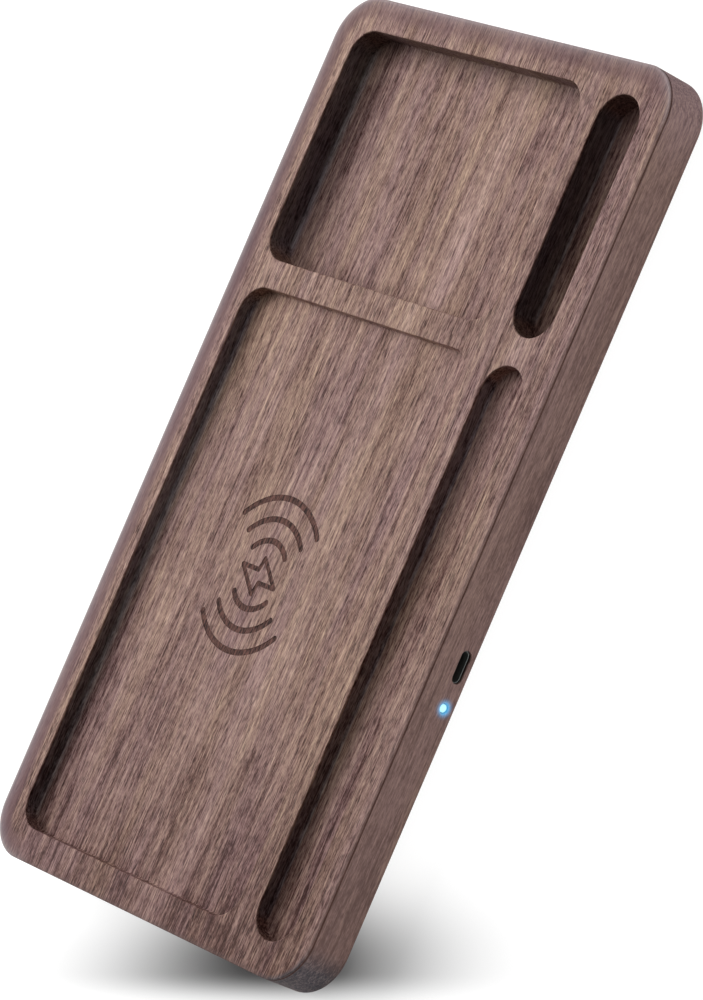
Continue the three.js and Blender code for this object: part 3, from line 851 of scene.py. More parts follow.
@dataclass(frozen=True)
class Lit:
    """Clear plastic filled with light: brightest in its middle, bluer towards its rim."""

    name: str = "lit_plastic"
    middle: Place = (0.0698, -0.0452, 0.0055)
    reach: float = 0.0013
    glow: Paints = ((0.0, (190, 247, 255)), (0.7, (182, 240, 252)), (1.0, (125, 195, 235)))
    colour: Paint = (120, 150, 160)
    strength: float = 0.95

    def make(self) -> bpy.types.Material:
        """Mixes the lit plastic."""
        mix = Recipe(self.name)
        haze = mix.cloud(1500)
        return mix.done(
            Base_Color=mix.dim(shade(*self.colour), mix.spread(haze, 0.9, 1.0)),
            Roughness=mix.spread(haze, 0.12, 0.24),
            Emission_Color=mix.paints(mix.fit(mix.away(mix.place, self.middle), 0.0, self.reach), self.glow),
            Emission_Strength=self.strength,
        )


@dataclass(frozen=True)
class Ceramic:
    """Fired ceramic, or the resin of a chip, whose marked ends are tinned metal."""

    name: str
    colour: Paint
    rough: float = 0.45
    tin: Paint = (196, 198, 200)
    speck: float = 3800.0
    depth: float = 0.00002

    def make(self) -> bpy.types.Material:
        """Mixes the ceramic."""
        mix = Recipe(self.name)
        speck = mix.cloud(self.speck)
        metal = mix.marks()[Mark.METAL]
        body = mix.dim(shade(*self.colour), mix.spread(speck, 0.85, 1.12))
        return mix.done(
            Base_Color=mix.mix(metal, body, mix.dim(shade(*self.tin), mix.spread(speck, 0.85, 1.05))),
            Metallic=metal,
            Roughness=mix.spread(speck, self.rough - 0.1, self.rough + 0.1),
            Normal=mix.bump(speck, self.depth, 0.5),
        )


@dataclass(frozen=True)
class SolderMask:
    """Green lacquer over copper tracks, with bare tinned pads where the mesh is marked."""

    name: str = "board_green"
    lacquer: Paint = (22, 74, 46)
    track: Paint = (36, 102, 62)
    pad: Paint = (205, 190, 150)
    depth: float = 0.00003

    def make(self) -> bpy.types.Material:
        """Mixes the lacquer; tracks are the cell borders of a coarse square pattern."""
        mix = Recipe(self.name)
        cells = mix.cells(mix.scaled(420, 420, 1), 0.75, "MANHATTAN")
        tracks = mix.fit(cells.outputs["Distance"], 0.42, 0.48)
        weave = mix.cloud(2400, 1.0)
        metal = mix.marks()[Mark.METAL]
        lacquer = mix.mix(tracks, shade(*self.lacquer), shade(*self.track))
        lacquer = mix.dim(lacquer, mix.spread(weave, 0.9, 1.08))
        return mix.done(
            Base_Color=mix.mix(metal, lacquer, shade(*self.pad)),
            Metallic=metal,
            Roughness=mix.spread(weave, 0.3, 0.42),
            Normal=mix.bump(tracks, self.depth, 0.6),
        )


@dataclass(frozen=True)
class Enamel:
    """Enamelled copper: bright metal under a thin amber film in lighter and darker clouds."""

    name: str = "copper"
    tones: Paints = ((0.3, (150, 78, 42)), (0.55, (190, 108, 60)), (0.75, (214, 138, 84)))

    def make(self) -> bpy.types.Material:
        """Mixes the enamelled wire."""
        mix = Recipe(self.name)
        cloud = mix.cloud(420, 3.0)
        return mix.done(
            Base_Color=mix.paints(cloud, self.tones),
            Metallic=0.85,
            Roughness=mix.spread(cloud, 0.26, 0.42),
            Coat_Weight=0.4,
        )


@dataclass(frozen=True)
class Foam:
    """Open-celled foam: scattered round cells with lighter walls."""

    name: str = "foam"
    colour: Paint = (82, 84, 88)
    cells: float = 2200.0
    depth: float = 0.0002

    def make(self) -> bpy.types.Material:
        """Mixes the foam."""
        mix = Recipe(self.name)
        cells = mix.cells(mix.scaled(self.cells, self.cells, self.cells)).outputs["Distance"]
        walls = mix.fit(cells, 0.1, 0.6, 0.5, 1.15)
        light = mix.sum("MULTIPLY", walls, mix.spread(mix.cloud(300, 3.0), 0.9, 1.1))
        return mix.done(
            Base_Color=mix.dim(shade(*self.colour), light),
            Roughness=0.95,
            Specular_IOR_Level=0.15,
            Normal=mix.bump(cells, self.depth, 0.9),
        )


class Finishes:
    """All materials of the tray, each mixed once."""

    def __init__(self) -> None:
        """Mixes them."""
        self.walnut = Walnut().make()
        self.cover = Moulded("cover_plastic", (34, 34, 36)).make()
        self.rubber = Moulded("foot_rubber", (38, 38, 39), 0.82, 1500.0, 0.00008).make()
        self.chip = Ceramic("black_plastic", (26, 26, 28), 0.5).make()
        self.sleeve = Moulded("lead_sleeve", (150, 52, 40), 0.42, 1800.0, 0.00002).make()
        self.steel = Metal("steel", (176, 178, 182)).make()
        self.socket = Metal("socket_steel", (104, 106, 104), 0.5).make()
        self.tongue = Moulded("socket_plastic", (92, 95, 92), 0.6).make()
        self.gold = Metal("contact_gold", (222, 182, 104), 0.24).make()
        self.lit = Lit().make()
        self.copper = Enamel().make()
        self.ferrite = Ceramic("ferrite", (62, 63, 67), 0.5).make()
        self.foam = Foam().make()
        self.tape = Moulded("tape", (226, 219, 200), 0.6, 900.0, 0.00003).make()
        self.board = SolderMask().make()
        self.white = Ceramic("white_ceramic", (232, 228, 214), 0.4).make()
        self.tan = Ceramic("tan_ceramic", (176, 148, 112), 0.45).make()


# Wood


@dataclass(frozen=True)
class ChargingFigure:
    """Burnt-in figure: three pairs of arcs above and below a bolt drawn in one line."""

    x: float = -12.6
    y: float = -31.0
    floor: float = 11.0
    depth: float = 0.1
    slope: float = 0.06
    line: float = 1.7
    radii: tuple[float, ...] = (9.5, 15.4, 21.4)
    span: float = math.radians(98)
    bolt_middle: Pair = (-0.2, -0.45)
    bolt_line: float = 1.35
    bolt_reach: float = 8.1
    bolt_corners: Pairs = (
        (-0.98, 0.21),
        (0.02, -0.62),
        (0.11, -0.21),
        (0.98, -0.21),
        (-0.02, 0.62),
        (-0.11, 0.21),
    )
    arc_steps: int = 36
    cap_steps: int = 8

    def _arc(self, radius: float, middle: float, inset: float) -> Array:
        """Outline of one arc.

        It runs along the outer circle, round the end's half circle, back along the inner circle
        and round the other end.

        Args:
            radius: Radius of the arc's middle line.
            middle: Angle of the arc's middle.
            inset: Distance that the outline is drawn in.

        Returns:
            The outline.
        """
        half = self.line / 2 - inset
        start, end = middle - self.span / 2, middle + self.span / 2
        along = np.linspace(start, end, self.arc_steps + 1)[:, None]
        caps = np.linspace(0, math.pi, self.cap_steps + 1)[1:-1, None]

        def polar(reach: Array | float, angle: Array) -> Array:
            """Points at a reach and an angle."""
            return reach * np.hstack([np.cos(angle), np.sin(angle)])

        loop = np.vstack([
            polar(radius + half, along),
            polar(radius, np.full((1, 1), end)) + polar(half, end + caps),
            polar(radius - half, along[::-1]),
            polar(radius, np.full((1, 1), start)) + polar(half, start + math.pi + caps),
        ])
        return loop + (self.x, self.y)

    def _bolt(self, outwards: float) -> Array:
        """Outline of the bolt's line on one side, as a round pen draws it.

        A corner that opens towards this side is met on its mitre. Round any other, the points
        lie at the pen's half width, at angles spaced evenly from one side's square direction to
        the next one's.

        Args:
            outwards: Distance from the middle line, below 0 for the inner side.

        Returns:
            The outline, with the same number of points for each corner.
        """
        corners = np.array(self.bolt_corners) * self.bolt_reach + self.bolt_middle
        way_in = corners - np.roll(corners, 1, axis=0)
        facing = np.arctan2(-way_in[:, 0], way_in[:, 1])
        swing = (np.roll(facing, -1) - facing + math.pi) % TURN - math.pi
        fan = np.linspace(0, 1, self.cap_steps + 1)[None, :]
        angle = facing[:, None] + swing[:, None] * fan
        mitre = np.broadcast_to((facing + swing / 2)[:, None], angle.shape)
        round_side = (swing * outwards > 0)[:, None]
        angle = np.where(round_side, angle, mitre)
        reach = np.where(round_side, outwards, outwards / np.cos(swing / 2)[:, None])
        points = corners[:, None] + reach[..., None] * np.stack([np.cos(angle), np.sin(angle)], axis=2)
        return points.reshape(-1, 2) + (self.x, self.y)

    def cut_into(self, shell: Shell) -> list[Array]:
        """Adds the shallow burnt beds and the wood left inside the bolt.

        Args:
            shell: Shell of the tray.

        Returns:
            Outlines that the floor leaves open.
        """
        holes: list[Array] = []
        for radius in self.radii:
            for middle in (TURN / 4, -TURN / 4):
                mouth, bed = self._arc(radius, middle, 0), self._arc(radius, middle, self.slope)
                self._wall(shell, mouth, bed)
                shell.level([bed], self.floor - self.depth, 1, Mark.BURNT)
                holes.append(mouth)
        half = self.bolt_line / 2
        outer, inner = self._bolt(half), self._bolt(-half)
        bed_outer, bed_inner = self._bolt(half - self.slope), self._bolt(self.slope - half)
        self._wall(shell, outer, bed_outer)
        self._wall(shell, inner, bed_inner)
        shell.level([bed_outer, bed_inner], self.floor - self.depth, 1, Mark.BURNT)
        shell.level([inner], self.floor, 1)
        holes.append(outer)
        return holes

    def _wall(self, shell: Shell, mouth: Array, bed: Array) -> None:
        """Adds a groove's wall: straight lines from the mouth down to the bed."""
        top = np.column_stack([mouth, np.full(len(mouth), self.floor)])
        low = np.column_stack([bed, np.full(len(bed), self.floor - self.depth)])
        inwards = bed - mouth
        inwards /= np.linalg.norm(inwards, axis=1, keepdims=True)
        facing = np.column_stack([inwards * self.depth, np.full(len(mouth), self.slope)])
        facing /= np.linalg.norm(facing, axis=1, keepdims=True)
        shell.grid(np.stack([top, low]), np.stack([facing, facing]), True, Mark.BURNT)


@dataclass(frozen=True)
class Layout:
    """Places and sizes that more than one piece follows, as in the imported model."""

    bottom: float = 1.0
    top: float = 15.0
    half_width: float = 70.0
    half_length: float = 125.0
    port_along: float = -34.0
    port_level: float = 5.5
    port_width: float = 8.94
    port_height: float = 3.26
    port_lip: float = 0.6
    light_along: float = -45.2
    light_radius: float = 1.1
    fit: float = 0.3
    cover_level: float = 2.5
    cavity_level: float = 8.5
    seat: Plan = Plan(-52, 66, -75, 13, 6, 8)
    cavity: Plan = Plan(-46, 65.8, -69, 7, 6, 8)
    coil_x: float = -12.0
    coil_y: float = -31.0
    board_x: float = 51.7
    board_bottom: float = 7.13
    board_top: float = 8.13
    foot_places: Pairs = ((-55, -110), (-55, 110), (55, -110), (55, 110))
    cover_screws: Pairs = ((-46, -72), (7, -72), (60, -72), (-46, 10), (7, 10), (60, 10))
    board_screws: Pairs = ((40.1, -51.6), (63.3, -51.6), (40.1, -16.4), (63.3, -16.4))

    def port(self) -> Plan:
        """Outline of the socket, seen from the right."""
        height = self.port_height
        return Plan.about(self.port_along, self.port_level, self.port_width, height, height / 2)

    def light(self) -> Plan:
        """Outline of the status light, seen from the right."""
        return Plan.disc(self.light_along, self.port_level, self.light_radius)


@dataclass(frozen=True)
class TrayBody:
    """The milled tray: four recesses above, and the charger's cavity and seats below."""

    at: Layout
    figure: ChargingFigure
    corner: float = 13.0
    top_round: float = 0.3
    groove: float = 0.1
    groove_width: float = 0.6
    low_round: float = 2.6
    wide: Pair = (-61.0, 37.0)
    narrow: Pair = (45.0, 61.0)
    near: Pair = (-116.0, 41.0)
    far: Pair = (49.0, 116.0)
    recess_corner: float = 8.0
    shallow: float = 11.0
    deep: float = 7.0
    ease: float = 0.35
    fillet: float = 0.7
    mouth_ease: float = 0.2
    foot_reach: float = 6.3
    foot_level: float = 1.6
    pilot: float = 1.3
    cover_pilot_top: float = 7.8
    board_pilot_top: float = 12.43

    def recesses(self) -> dict[str, tuple[Plan, float]]:
        """Outline and floor of each recess: two wide ones on the left and two slots on the right."""
        round_to = self.recess_corner
        return {
            "phone": (Plan(*self.wide, *self.near, round_to, 14), self.shallow),
            "pocket": (Plan(*self.wide, *self.far, round_to, 14), self.deep),
            "short_slot": (Plan(*self.narrow, *self.far, round_to, 18), self.deep),
            "long_slot": (Plan(*self.narrow, *self.near, round_to, 18), self.shallow),
        }

    def build(self, finish: bpy.types.Material) -> None:
        """Builds the tray in its finish."""
        shell = Shell()
        self._outside(shell)
        self._top(shell)
        self._underside(shell)
        self._cavity(shell)
        self._tunnels(shell)
        shell.seat("walnut_tray", finish, "walnut", "tray_body")

    def _whole(self) -> Plan:
        """Plan of the whole tray."""
        return Plan.about(0, 0, 2 * self.at.half_width, 2 * self.at.half_length, self.corner, 20)

    def _right_wall(
        self, shell: Shell, x: float, along: Pair, levels: Pair, mouths: list[Array], looks: int
    ) -> None:
        """Adds a flat wall across X with the mouths of the socket and the light left open.

        Args:
            shell: Shell of the tray.
            x: Where the wall stands.
            along: Its ends along Y.
            levels: Its lower and upper level.
            mouths: Outlines of the mouths, along Y and upwards.
            looks: 1 where the wall looks to the right.
        """
        (near, far), (low, high) = along, levels
        loops = [np.array([(near, low), (far, low), (far, high), (near, high)]), *mouths]
        shell.flat([np.column_stack([np.full(len(loop), x), loop]) for loop in loops], (looks, 0, 0))

    def _outside(self, shell: Shell) -> None:
        """Adds the sides: a small round and a fine dark groove above, a flat band, a large round below."""
        at, whole = self.at, self._whole()
        edge, low = at.top - self.top_round, at.bottom + self.low_round
        high = edge - self.groove_width
        shell.sweep(whole, Profile(-self.top_round, at.top, 1).bend(0, edge, (-self.top_round, edge), 5))
        groove = Profile(0, edge, 1).straight(-self.groove, (edge + high) / 2).straight(0, high)
        shell.sweep(whole, groove, mark=Mark.ARRIS)
        shell.sweep(whole, Profile(0, high, 1).straight(0, low), closed=False)
        shell.sweep(whole, Profile(0, low, 1).bend(-self.low_round, at.bottom, (-self.low_round, low), 12))
        reach = at.half_length - self.corner
        mouths = [hole.outline(self.mouth_ease) for hole in (at.port(), at.light().grown(at.fit))]
        self._right_wall(shell, at.half_width, (-reach, reach), (low, high), mouths, 1)

    def _top(self, shell: Shell) -> None:
        """Adds the top face and the recesses: eased rim, wall, fillet and floor."""
        ease, fillet, top = self.ease, self.fillet, self.at.top
        mouths = [self._whole().outline(-self.top_round)]
        for name, (plan, floor) in self.recesses().items():
            mouths.append(plan.outline(ease))
            line = Profile(ease, top, -1).bend(0, top - ease, (ease, top - ease), 4)
            line.straight(0, floor + fillet).bend(-fillet, floor, (-fillet, floor + fillet), 6)
            shell.sweep(plan, line)
            holes = self.figure.cut_into(shell) if name == "phone" else []
            shell.level([plan.outline(-fillet), *holes], floor, 1)
        shell.level(mouths, top, 1)

    def _underside(self, shell: Shell) -> None:
        """Adds the lower face with the seats of the feet and of the cover."""
        at = self.at
        mouths = [self._whole().outline(-self.low_round), at.seat.outline()]
        for place in at.foot_places:
            foot = Plan.disc(*place, self.foot_reach)
            mouths.append(foot.outline())
            self._bore(shell, foot, at.bottom, self.foot_level)
        shell.level(mouths, at.bottom, -1)
        shell.sweep(at.seat, Profile(0, at.bottom, 1).straight(0, at.cover_level))
        self._bored(shell, [at.seat, at.cavity], at.cover_screws, at.cover_level, self.cover_pilot_top)

    def _cavity(self, shell: Shell) -> None:
        """Adds the cavity's walls, its ceiling and the bores of the board's screws."""
        at, plan = self.at, self.at.cavity
        levels = (at.cover_level, at.cavity_level)
        shell.sweep(plan, Profile(0, levels[0], 1).straight(0, levels[1]), closed=False)
        mouths = [hole.grown(at.fit).outline() for hole in (at.port(), at.light())]
        along = (plan.near + plan.radius, plan.far - plan.radius)
        self._right_wall(shell, plan.right, along, levels, mouths, -1)
        self._bored(shell, [plan], at.board_screws, at.cavity_level, self.board_pilot_top)

    def _bored(self, shell: Shell, plans: list[Plan], places: Pairs, level: float, top: float) -> None:
        """Adds a face that looks down, with blind bores from it up into the wood."""
        bores = [Plan.disc(*place, self.pilot, 6) for place in places]
        shell.level([plan.outline() for plan in (*plans, *bores)], level, -1)
        for bore in bores:
            self._bore(shell, bore, level, top)

    def _bore(self, shell: Shell, plan: Plan, low: float, high: float) -> None:
        """Adds one blind bore."""
        shell.sweep(plan, Profile(0, low, 1).straight(0, high))
        shell.level([plan.outline()], high, -1)

    def _tunnels(self, shell: Shell) -> None:
        """Adds the openings from the cavity to the right side; the socket's ends in a lip of wood."""
        at, ease, x = self.at, self.mouth_ease, self.at.half_width
        start, lip = at.cavity.right, x - at.port_lip
        socket = Profile(at.fit, start, 1).straight(at.fit, lip).straight(0, lip).straight(0, x - ease)
        light = Profile(at.fit, start, 1).straight(at.fit, x - ease)
        for plan, line, edge in ((at.port(), socket, 0.0), (at.light(), light, at.fit)):
            lying = Shell(Lie.ALONG_X)
            lying.sweep(plan, line.bend(edge + ease, x, (edge + ease, x - ease), 4))
            shell.add(lying.points[0], lying.facings[0], lying.quads[0], Mark.NONE)


# Underside


@dataclass(frozen=True)
class Screw:
    """A screw that points up, its head at the bottom with a cross recess; sunk means a conical head."""

    face: float
    length: float
    sunk: bool
    head: float = 1.9
    height: float = 1.1
    edge: float = 0.06
    rim: float = 0.82
    crown: float = 0.94
    shank: float = 1.0
    pitch: float = 0.7
    crest: float = 0.14
    tip: float = 1.2
    point: float = 0.35
    arm: float = 1.15
    half: float = 0.24
    recess: float = 0.6
    draft: float = 0.55
    middle: float = 0.02
    sides: int = 32
    rings: int = 48

    def draw(self, place: Pair) -> Shell:
        """Draws the screw.

        The recess is the outline of two crossed bars: at an angle each bar is met at the nearer of
        its end and its side, and the bar that reaches farther counts. The thread is a ridge whose
        radius rises and falls once a pitch while it climbs one pitch a turn.

        Args:
            place: Middle of the screw.

        Returns:
            The screw's shell.
        """
        angles = np.arange(self.sides) * TURN / self.sides
        ways = np.column_stack([np.cos(angles), np.sin(angles)])
        along = np.maximum(np.abs(ways), SAME)
        arms = np.minimum(self.arm / along, self.half / along[:, ::-1]).max(axis=1)

        def ring(radius: Array | float, level: float) -> Array:
            """One ring of the screw about its middle."""
            return np.column_stack([np.reshape(radius, (-1, 1)) * ways + place, np.full(self.sides, level)])

        shell, deep = Shell(), self.face + self.recess
        start, end = self.face + self.height, self.face + self.length
        cone = [ring(self.shank, start)]
        if not self.sunk:
            rim = ring(self.head, self.face + self.height * self.rim)
            cone = [rim, ring(self.head * self.crown, start), *cone]
        outer = [
            ring(self.middle, deep),
            ring(arms * self.draft, deep),
            ring(arms, self.face),
            ring(self.head - self.edge, self.face),
            ring(self.head, self.face + self.edge),
        ]
        for pair in zip(outer, outer[1:]):
            shell.grid(np.stack(pair), closed=True)
        shell.grid(np.stack([outer[-1], *cone]), closed=True)
        levels = np.linspace(start, end - self.tip, self.rings)
        climb = (levels[1:-1, None] / self.pitch - angles / TURN) % 1
        ridge = self.shank - self.crest * np.abs(climb * 2 - 1)
        root, point = ring(self.shank - self.crest, levels[-1]), ring(self.point, end)
        shell.grid(np.stack([ring(self.shank, start), *map(ring, ridge, levels[1:-1]), root]), closed=True)
        shell.grid(np.stack([root, point]), closed=True)
        shell.level([point[:, :2]], end, 1)
        shell.level([outer[0][:, :2]], deep, -1)
        return shell


@dataclass(frozen=True)
class Underside:
    """What closes and carries the tray from below: cover, screws and feet."""

    at: Layout
    cover_fit: float = 0.3
    edge: float = 0.25
    head: float = 1.9
    shank: float = 1.0
    head_height: float = 1.1
    foot_radius: float = 6.0
    foot_height: float = 1.6
    foot_round: float = 0.4
    tread: Pair = (3.4, 2.2)
    tread_depth: float = 0.2

    def build(self, finishes: Finishes) -> None:
        """Builds the cover, its screws and the feet."""
        self._cover(finishes.cover)
        screw = Screw(self.at.bottom, 6.5, True)
        for number, place in enumerate(self.at.cover_screws, 1):
            node = f"cover_screw_{number}"
            screw.draw(place).seat(f"{node}_driven", finishes.steel, "steel", node)
        for number, place in enumerate(self.at.foot_places, 1):
            node = f"foot_{number}"
            self._foot(place).seat(f"{node}_moulded", finishes.rubber, "foot_rubber", node)

    def _cover(self, finish: bpy.types.Material) -> None:
        """Builds the cover: a plate with eased edges and countersunk holes."""
        shell, plan = Shell(), self.at.seat.grown(-self.cover_fit)
        low, high, inset = self.at.bottom, self.at.cover_level, self.head - self.shank
        shell.sweep(plan, Profile.side_of(low, high, self.edge, self.edge))
        mouths, throats = [plan.outline(-self.edge)], [plan.outline(-self.edge)]
        for place in self.at.cover_screws:
            hole = Plan.disc(*place, self.head + self.cover_fit, 8)
            sink = Profile(0, low, 1).straight(-inset, low + self.head_height).straight(-inset, high)
            shell.sweep(hole, sink)
            mouths.append(hole.outline())
            throats.append(hole.outline(-inset))
        shell.level(mouths, low, -1)
        shell.level(throats, high, 1)
        shell.seat("base_cover_plate", finish, "cover_plastic", "base_cover")

    def _foot(self, place: Pair) -> Shell:
        """Draws a foot: a rounded disc with a shallow ring groove in its tread."""
        radius, top, edge = self.foot_radius, self.foot_height, self.foot_round
        (inner, outer), deep = self.tread, self.tread_depth
        line = Profile(-radius, 0, -1).straight(-inner, 0).straight(deep - inner, deep)
        line.straight(-outer - deep, deep).straight(-outer, 0).straight(-edge, 0)
        line.bend(0, edge, (-edge, edge), 6).straight(0, top).straight(-radius, top)
        shell = Shell()
        shell.sweep(Plan.disc(*place, radius, 16), line)
        return shell


# Socket and status light


@dataclass(frozen=True)
class PowerSocket:
    """The charging socket: a drawn steel shell with a tongue that carries gold contacts."""

    at: Layout
    front: float = 69.1
    back: float = 61.8
    wall: float = 0.3
    lip: float = 0.12
    tongue_width: float = 6.7
    tongue_height: float = 0.7
    tongue_reach: float = 5.0
    contacts: int = 12
    contact_pitch: float = 0.5
    contact_size: Pair = (0.26, 0.06)
    contact_span: Pair = (0.4, 4.2)
    contact_stand: float = 0.01

    def build(self, finishes: Finishes) -> None:
        """Builds the shell, the tongue and the contacts."""
        shell, plan, lip, wall = Shell(Lie.ALONG_X), self.at.port(), self.lip, self.wall
        foot, rise = self.back + wall, self.front - lip
        line = Profile(0, self.back, -1).straight(0, rise).bend(-lip, self.front, (-lip, rise), 4)
        line.straight(lip - wall, self.front).bend(-wall, rise, (lip - wall, rise), 4).straight(-wall, foot)
        shell.sweep(plan, line)
        shell.level([plan.outline()], self.back, -1)
        shell.level([plan.outline(-wall)], foot, 1)
        shell.seat("usb_port_drawn_shell", finishes.socket, "steel", "usb_port_shell")
        self._tongue(finishes, foot)

    def _tongue(self, finishes: Finishes, foot: float) -> None:
        """Builds the tongue from its foot and, on both its faces, the row of contacts."""
        along, level = self.at.port_along, self.at.port_level
        tongue, pads = Shell(Lie.ALONG_X), Shell(Lie.ALONG_X)
        plan = Plan.about(along, level, self.tongue_width, self.tongue_height, 0.2, 6)
        tongue.slab(plan, foot, foot + self.tongue_reach, 0.01, 0.18)
        tongue.seat("usb_port_moulded_tongue", finishes.tongue, "black_plastic", "usb_port_tongue")
        start, end = self.contact_span
        for number in range(self.contacts):
            y = along + (number - (self.contacts - 1) / 2) * self.contact_pitch
            for side in (-1, 1):
                z = level + side * (self.tongue_height / 2 + self.contact_stand)
                pads.slab(Plan.about(y, z, *self.contact_size, 0.02, 1), foot + start, foot + end, 0.01, 0.02)
        pads.seat("usb_contacts", finishes.gold, "steel")


@dataclass(frozen=True)
class StatusLight:
    """The status light: a lit rod with a domed end, its collar, and the emitter behind it."""

    at: Layout
    back: float = 64.5
    front: float = 69.8
    collar_radius: float = 1.5
    collar_length: float = 1.2
    dome: float = 0.35
    emitter_x: float = 63.4
    emitter_size: Pair = (1.6, 3.0)
    emitter_levels: Pair = (4.73, 6.55)
    land_levels: Pair = (6.58, 7.13)
    ease: float = 0.02

    def build(self, finishes: Finishes) -> None:
        """Builds the rod and the emitter."""
        rod, emitter, radius = Shell(Lie.ALONG_X), Shell(), self.at.light_radius
        out, step, rise = self.collar_radius - radius, self.back + self.collar_length, self.front - self.dome
        sphere = (radius**2 + self.dome**2) / (2 * self.dome)
        line = Profile(-radius, self.back, -1).straight(out, self.back).straight(out, step).straight(0, step)
        line.straight(0, rise).bend(-radius, self.front, (-radius, self.front - sphere), 8)
        rod.sweep(self.at.light(), line)
        rod.seat("light_rod", finishes.lit, "lit_plastic", "light_pipe")
        body = Plan.about(self.emitter_x, self.at.light_along, *self.emitter_size, 0.3, 4)
        emitter.slab(body, *self.emitter_levels, 0.12, self.ease)
        emitter.slab(body.grown(-self.ease), *self.land_levels, self.ease, self.ease, Mark.METAL)
        emitter.seat("led_emitter_body", finishes.white, "white_ceramic", "led_emitter")


# Charger


@dataclass(frozen=True)
class CoilStack:
    """The winding under the phone recess, its leads, and the tape and foam that hold it."""

    at: Layout
    wire: float = 0.9
    pitch: float = 1.4
    turns: float = 9.5
    bore: float = 10.0
    level: float = 7.45
    strands: int = 7
    strand_depth: float = 0.14
    steps: int = 72
    sides: int = 28
    lay: float = 9.0
    tape_radius: float = 24.75
    tape_levels: Pair = (8.2, 8.5)
    foam_size: float = 40.0
    foam_levels: Pair = (2.5, 5.5)
    foam_edge: Pair = (0.55, 0.4)
    foam_side: float = 0.2
    foam_belly: float = 4.0
    lead_radius: float = 0.35
    lead_level: float = 6.1
    pad_x: float = 40.7
    pad_level: float = 6.48
    pads_along: Pair = (-24.0, -44.0)

    def build(self, finishes: Finishes) -> None:
        """Builds the coil, tape, foam and leads."""
        tape, disc = Shell(), Plan.disc(self.at.coil_x, self.at.coil_y, self.tape_radius, 24)
        tape.slab(disc, *self.tape_levels, 0.03, 0.03)
        tape.seat("coil_tape_disc", finishes.tape, "tape", "coil_tape")
        self._winding().seat("charging_coil_winding", finishes.copper, "copper", "charging_coil")
        foam = self._foam().seat("foam_pad_cut", finishes.foam, "foam", "foam_pad")
        for name, route in (("inner", self._inner_route()), ("outer", self._outer_route())):
            lead = tube_along(smooth_route(np.array(route, float), 14), self.lead_radius, 16)
            lead.seat(f"coil_lead_{name}_sleeved", finishes.sleeve, "lead_sleeve", f"coil_lead_{name}")

    def _winding(self) -> Shell:
        """Draws the spiral wire.

        The middle line's radius grows by one pitch a turn. The wire's own radius swells over
        each strand, as the size of the cosine of half the strand count times an angle that
        turns once in each lay.
        """
        count = round(self.turns * self.steps)
        turn = np.arange(-2, count + 3)[:, None] / self.steps
        held = np.clip(turn, 0, self.turns)
        angle = TURN / 4 + TURN * held
        reach = self.bore + self.pitch * held
        beyond = (turn - held) * self.steps * self.wire / 2
        x = self.at.coil_x + reach * np.cos(angle) - beyond * np.sin(angle)
        y = self.at.coil_y + reach * np.sin(angle) + beyond * np.cos(angle)
        around = np.arange(self.sides)[None, :] * TURN / self.sides
        run = TURN * (self.bore * turn + self.pitch * turn**2 / 2)
        bundle = np.abs(np.cos(self.strands / 2 * (around + TURN * run / self.lay)))
        thick = self.wire / 2 * (1 - self.strand_depth + self.strand_depth * bundle)
        out = thick * np.cos(around)
        z = self.level - thick * np.sin(around)
        points = np.stack([x + out * np.cos(angle), y + out * np.sin(angle), z], axis=2)
        shell = Shell()
        shell.grid(points, closed=True)
        for ring in (points[0], points[-1]):
            shell.grid(np.stack([ring, np.tile(ring.mean(axis=0), (self.sides, 1))]), closed=True)
        return shell

    def _foam(self) -> Shell:
        """Draws the foam: a rounded square pad whose pressed sides belly out in the middle."""
        (low, high), (inset, rise), side = self.foam_levels, self.foam_edge, self.foam_side
        plan = Plan.about(self.at.coil_x, self.at.coil_y, self.foam_size, self.foam_size, 5, 10)
        line = Profile(-inset, low, -1).bend(-side, low + rise, (-inset, low + rise), 4)
        line.bend(-side, high - rise, (-side - self.foam_belly, (low + high) / 2), 8)
        line.bend(-inset, high, (-inset, high - rise), 4)
        shell = Shell()
        shell.sweep(plan, line)
        shell.level([plan.outline(-inset)], low, -1)
        shell.level([plan.outline(-inset)], high, 1)
        return shell

    def _inner_route(self) -> list[list[float]]:
        """Knots of the inner lead: from the bore it drops under the winding and runs to its pad."""
        x, y, level, pad_y = self.at.coil_x, self.at.coil_y, self.level, self.pads_along[0]
        drops = ((0.35, 0.86, 0.15), (0.55, 0.66, 0.5), (0.8, 0.5, 1), (2.6, 0.5, 1))
        route = [[x + 1.2, y + self.bore, level]]
        for across, along, share in drops:
            drop = level + share * (self.lead_level - level)
            route.append([x + across * self.bore, y + along * self.bore, drop])
        return [*route, [self.pad_x - 6, pad_y, self.pad_level], [self.pad_x, pad_y, self.pad_level]]

    def _outer_route(self) -> list[list[float]]:
        """Knots of the outer lead: it leaves the last turn straight and rises to its pad."""
        x, pad_y = self.at.coil_x, self.pads_along[1]
        y = self.at.coil_y - self.bore - self.pitch * self.turns
        start = [[x + 1.2, y, self.level], [x + 27, y, self.level]]
        return [*start, [self.pad_x - 6, pad_y, self.pad_level], [self.pad_x, pad_y, self.pad_level]]


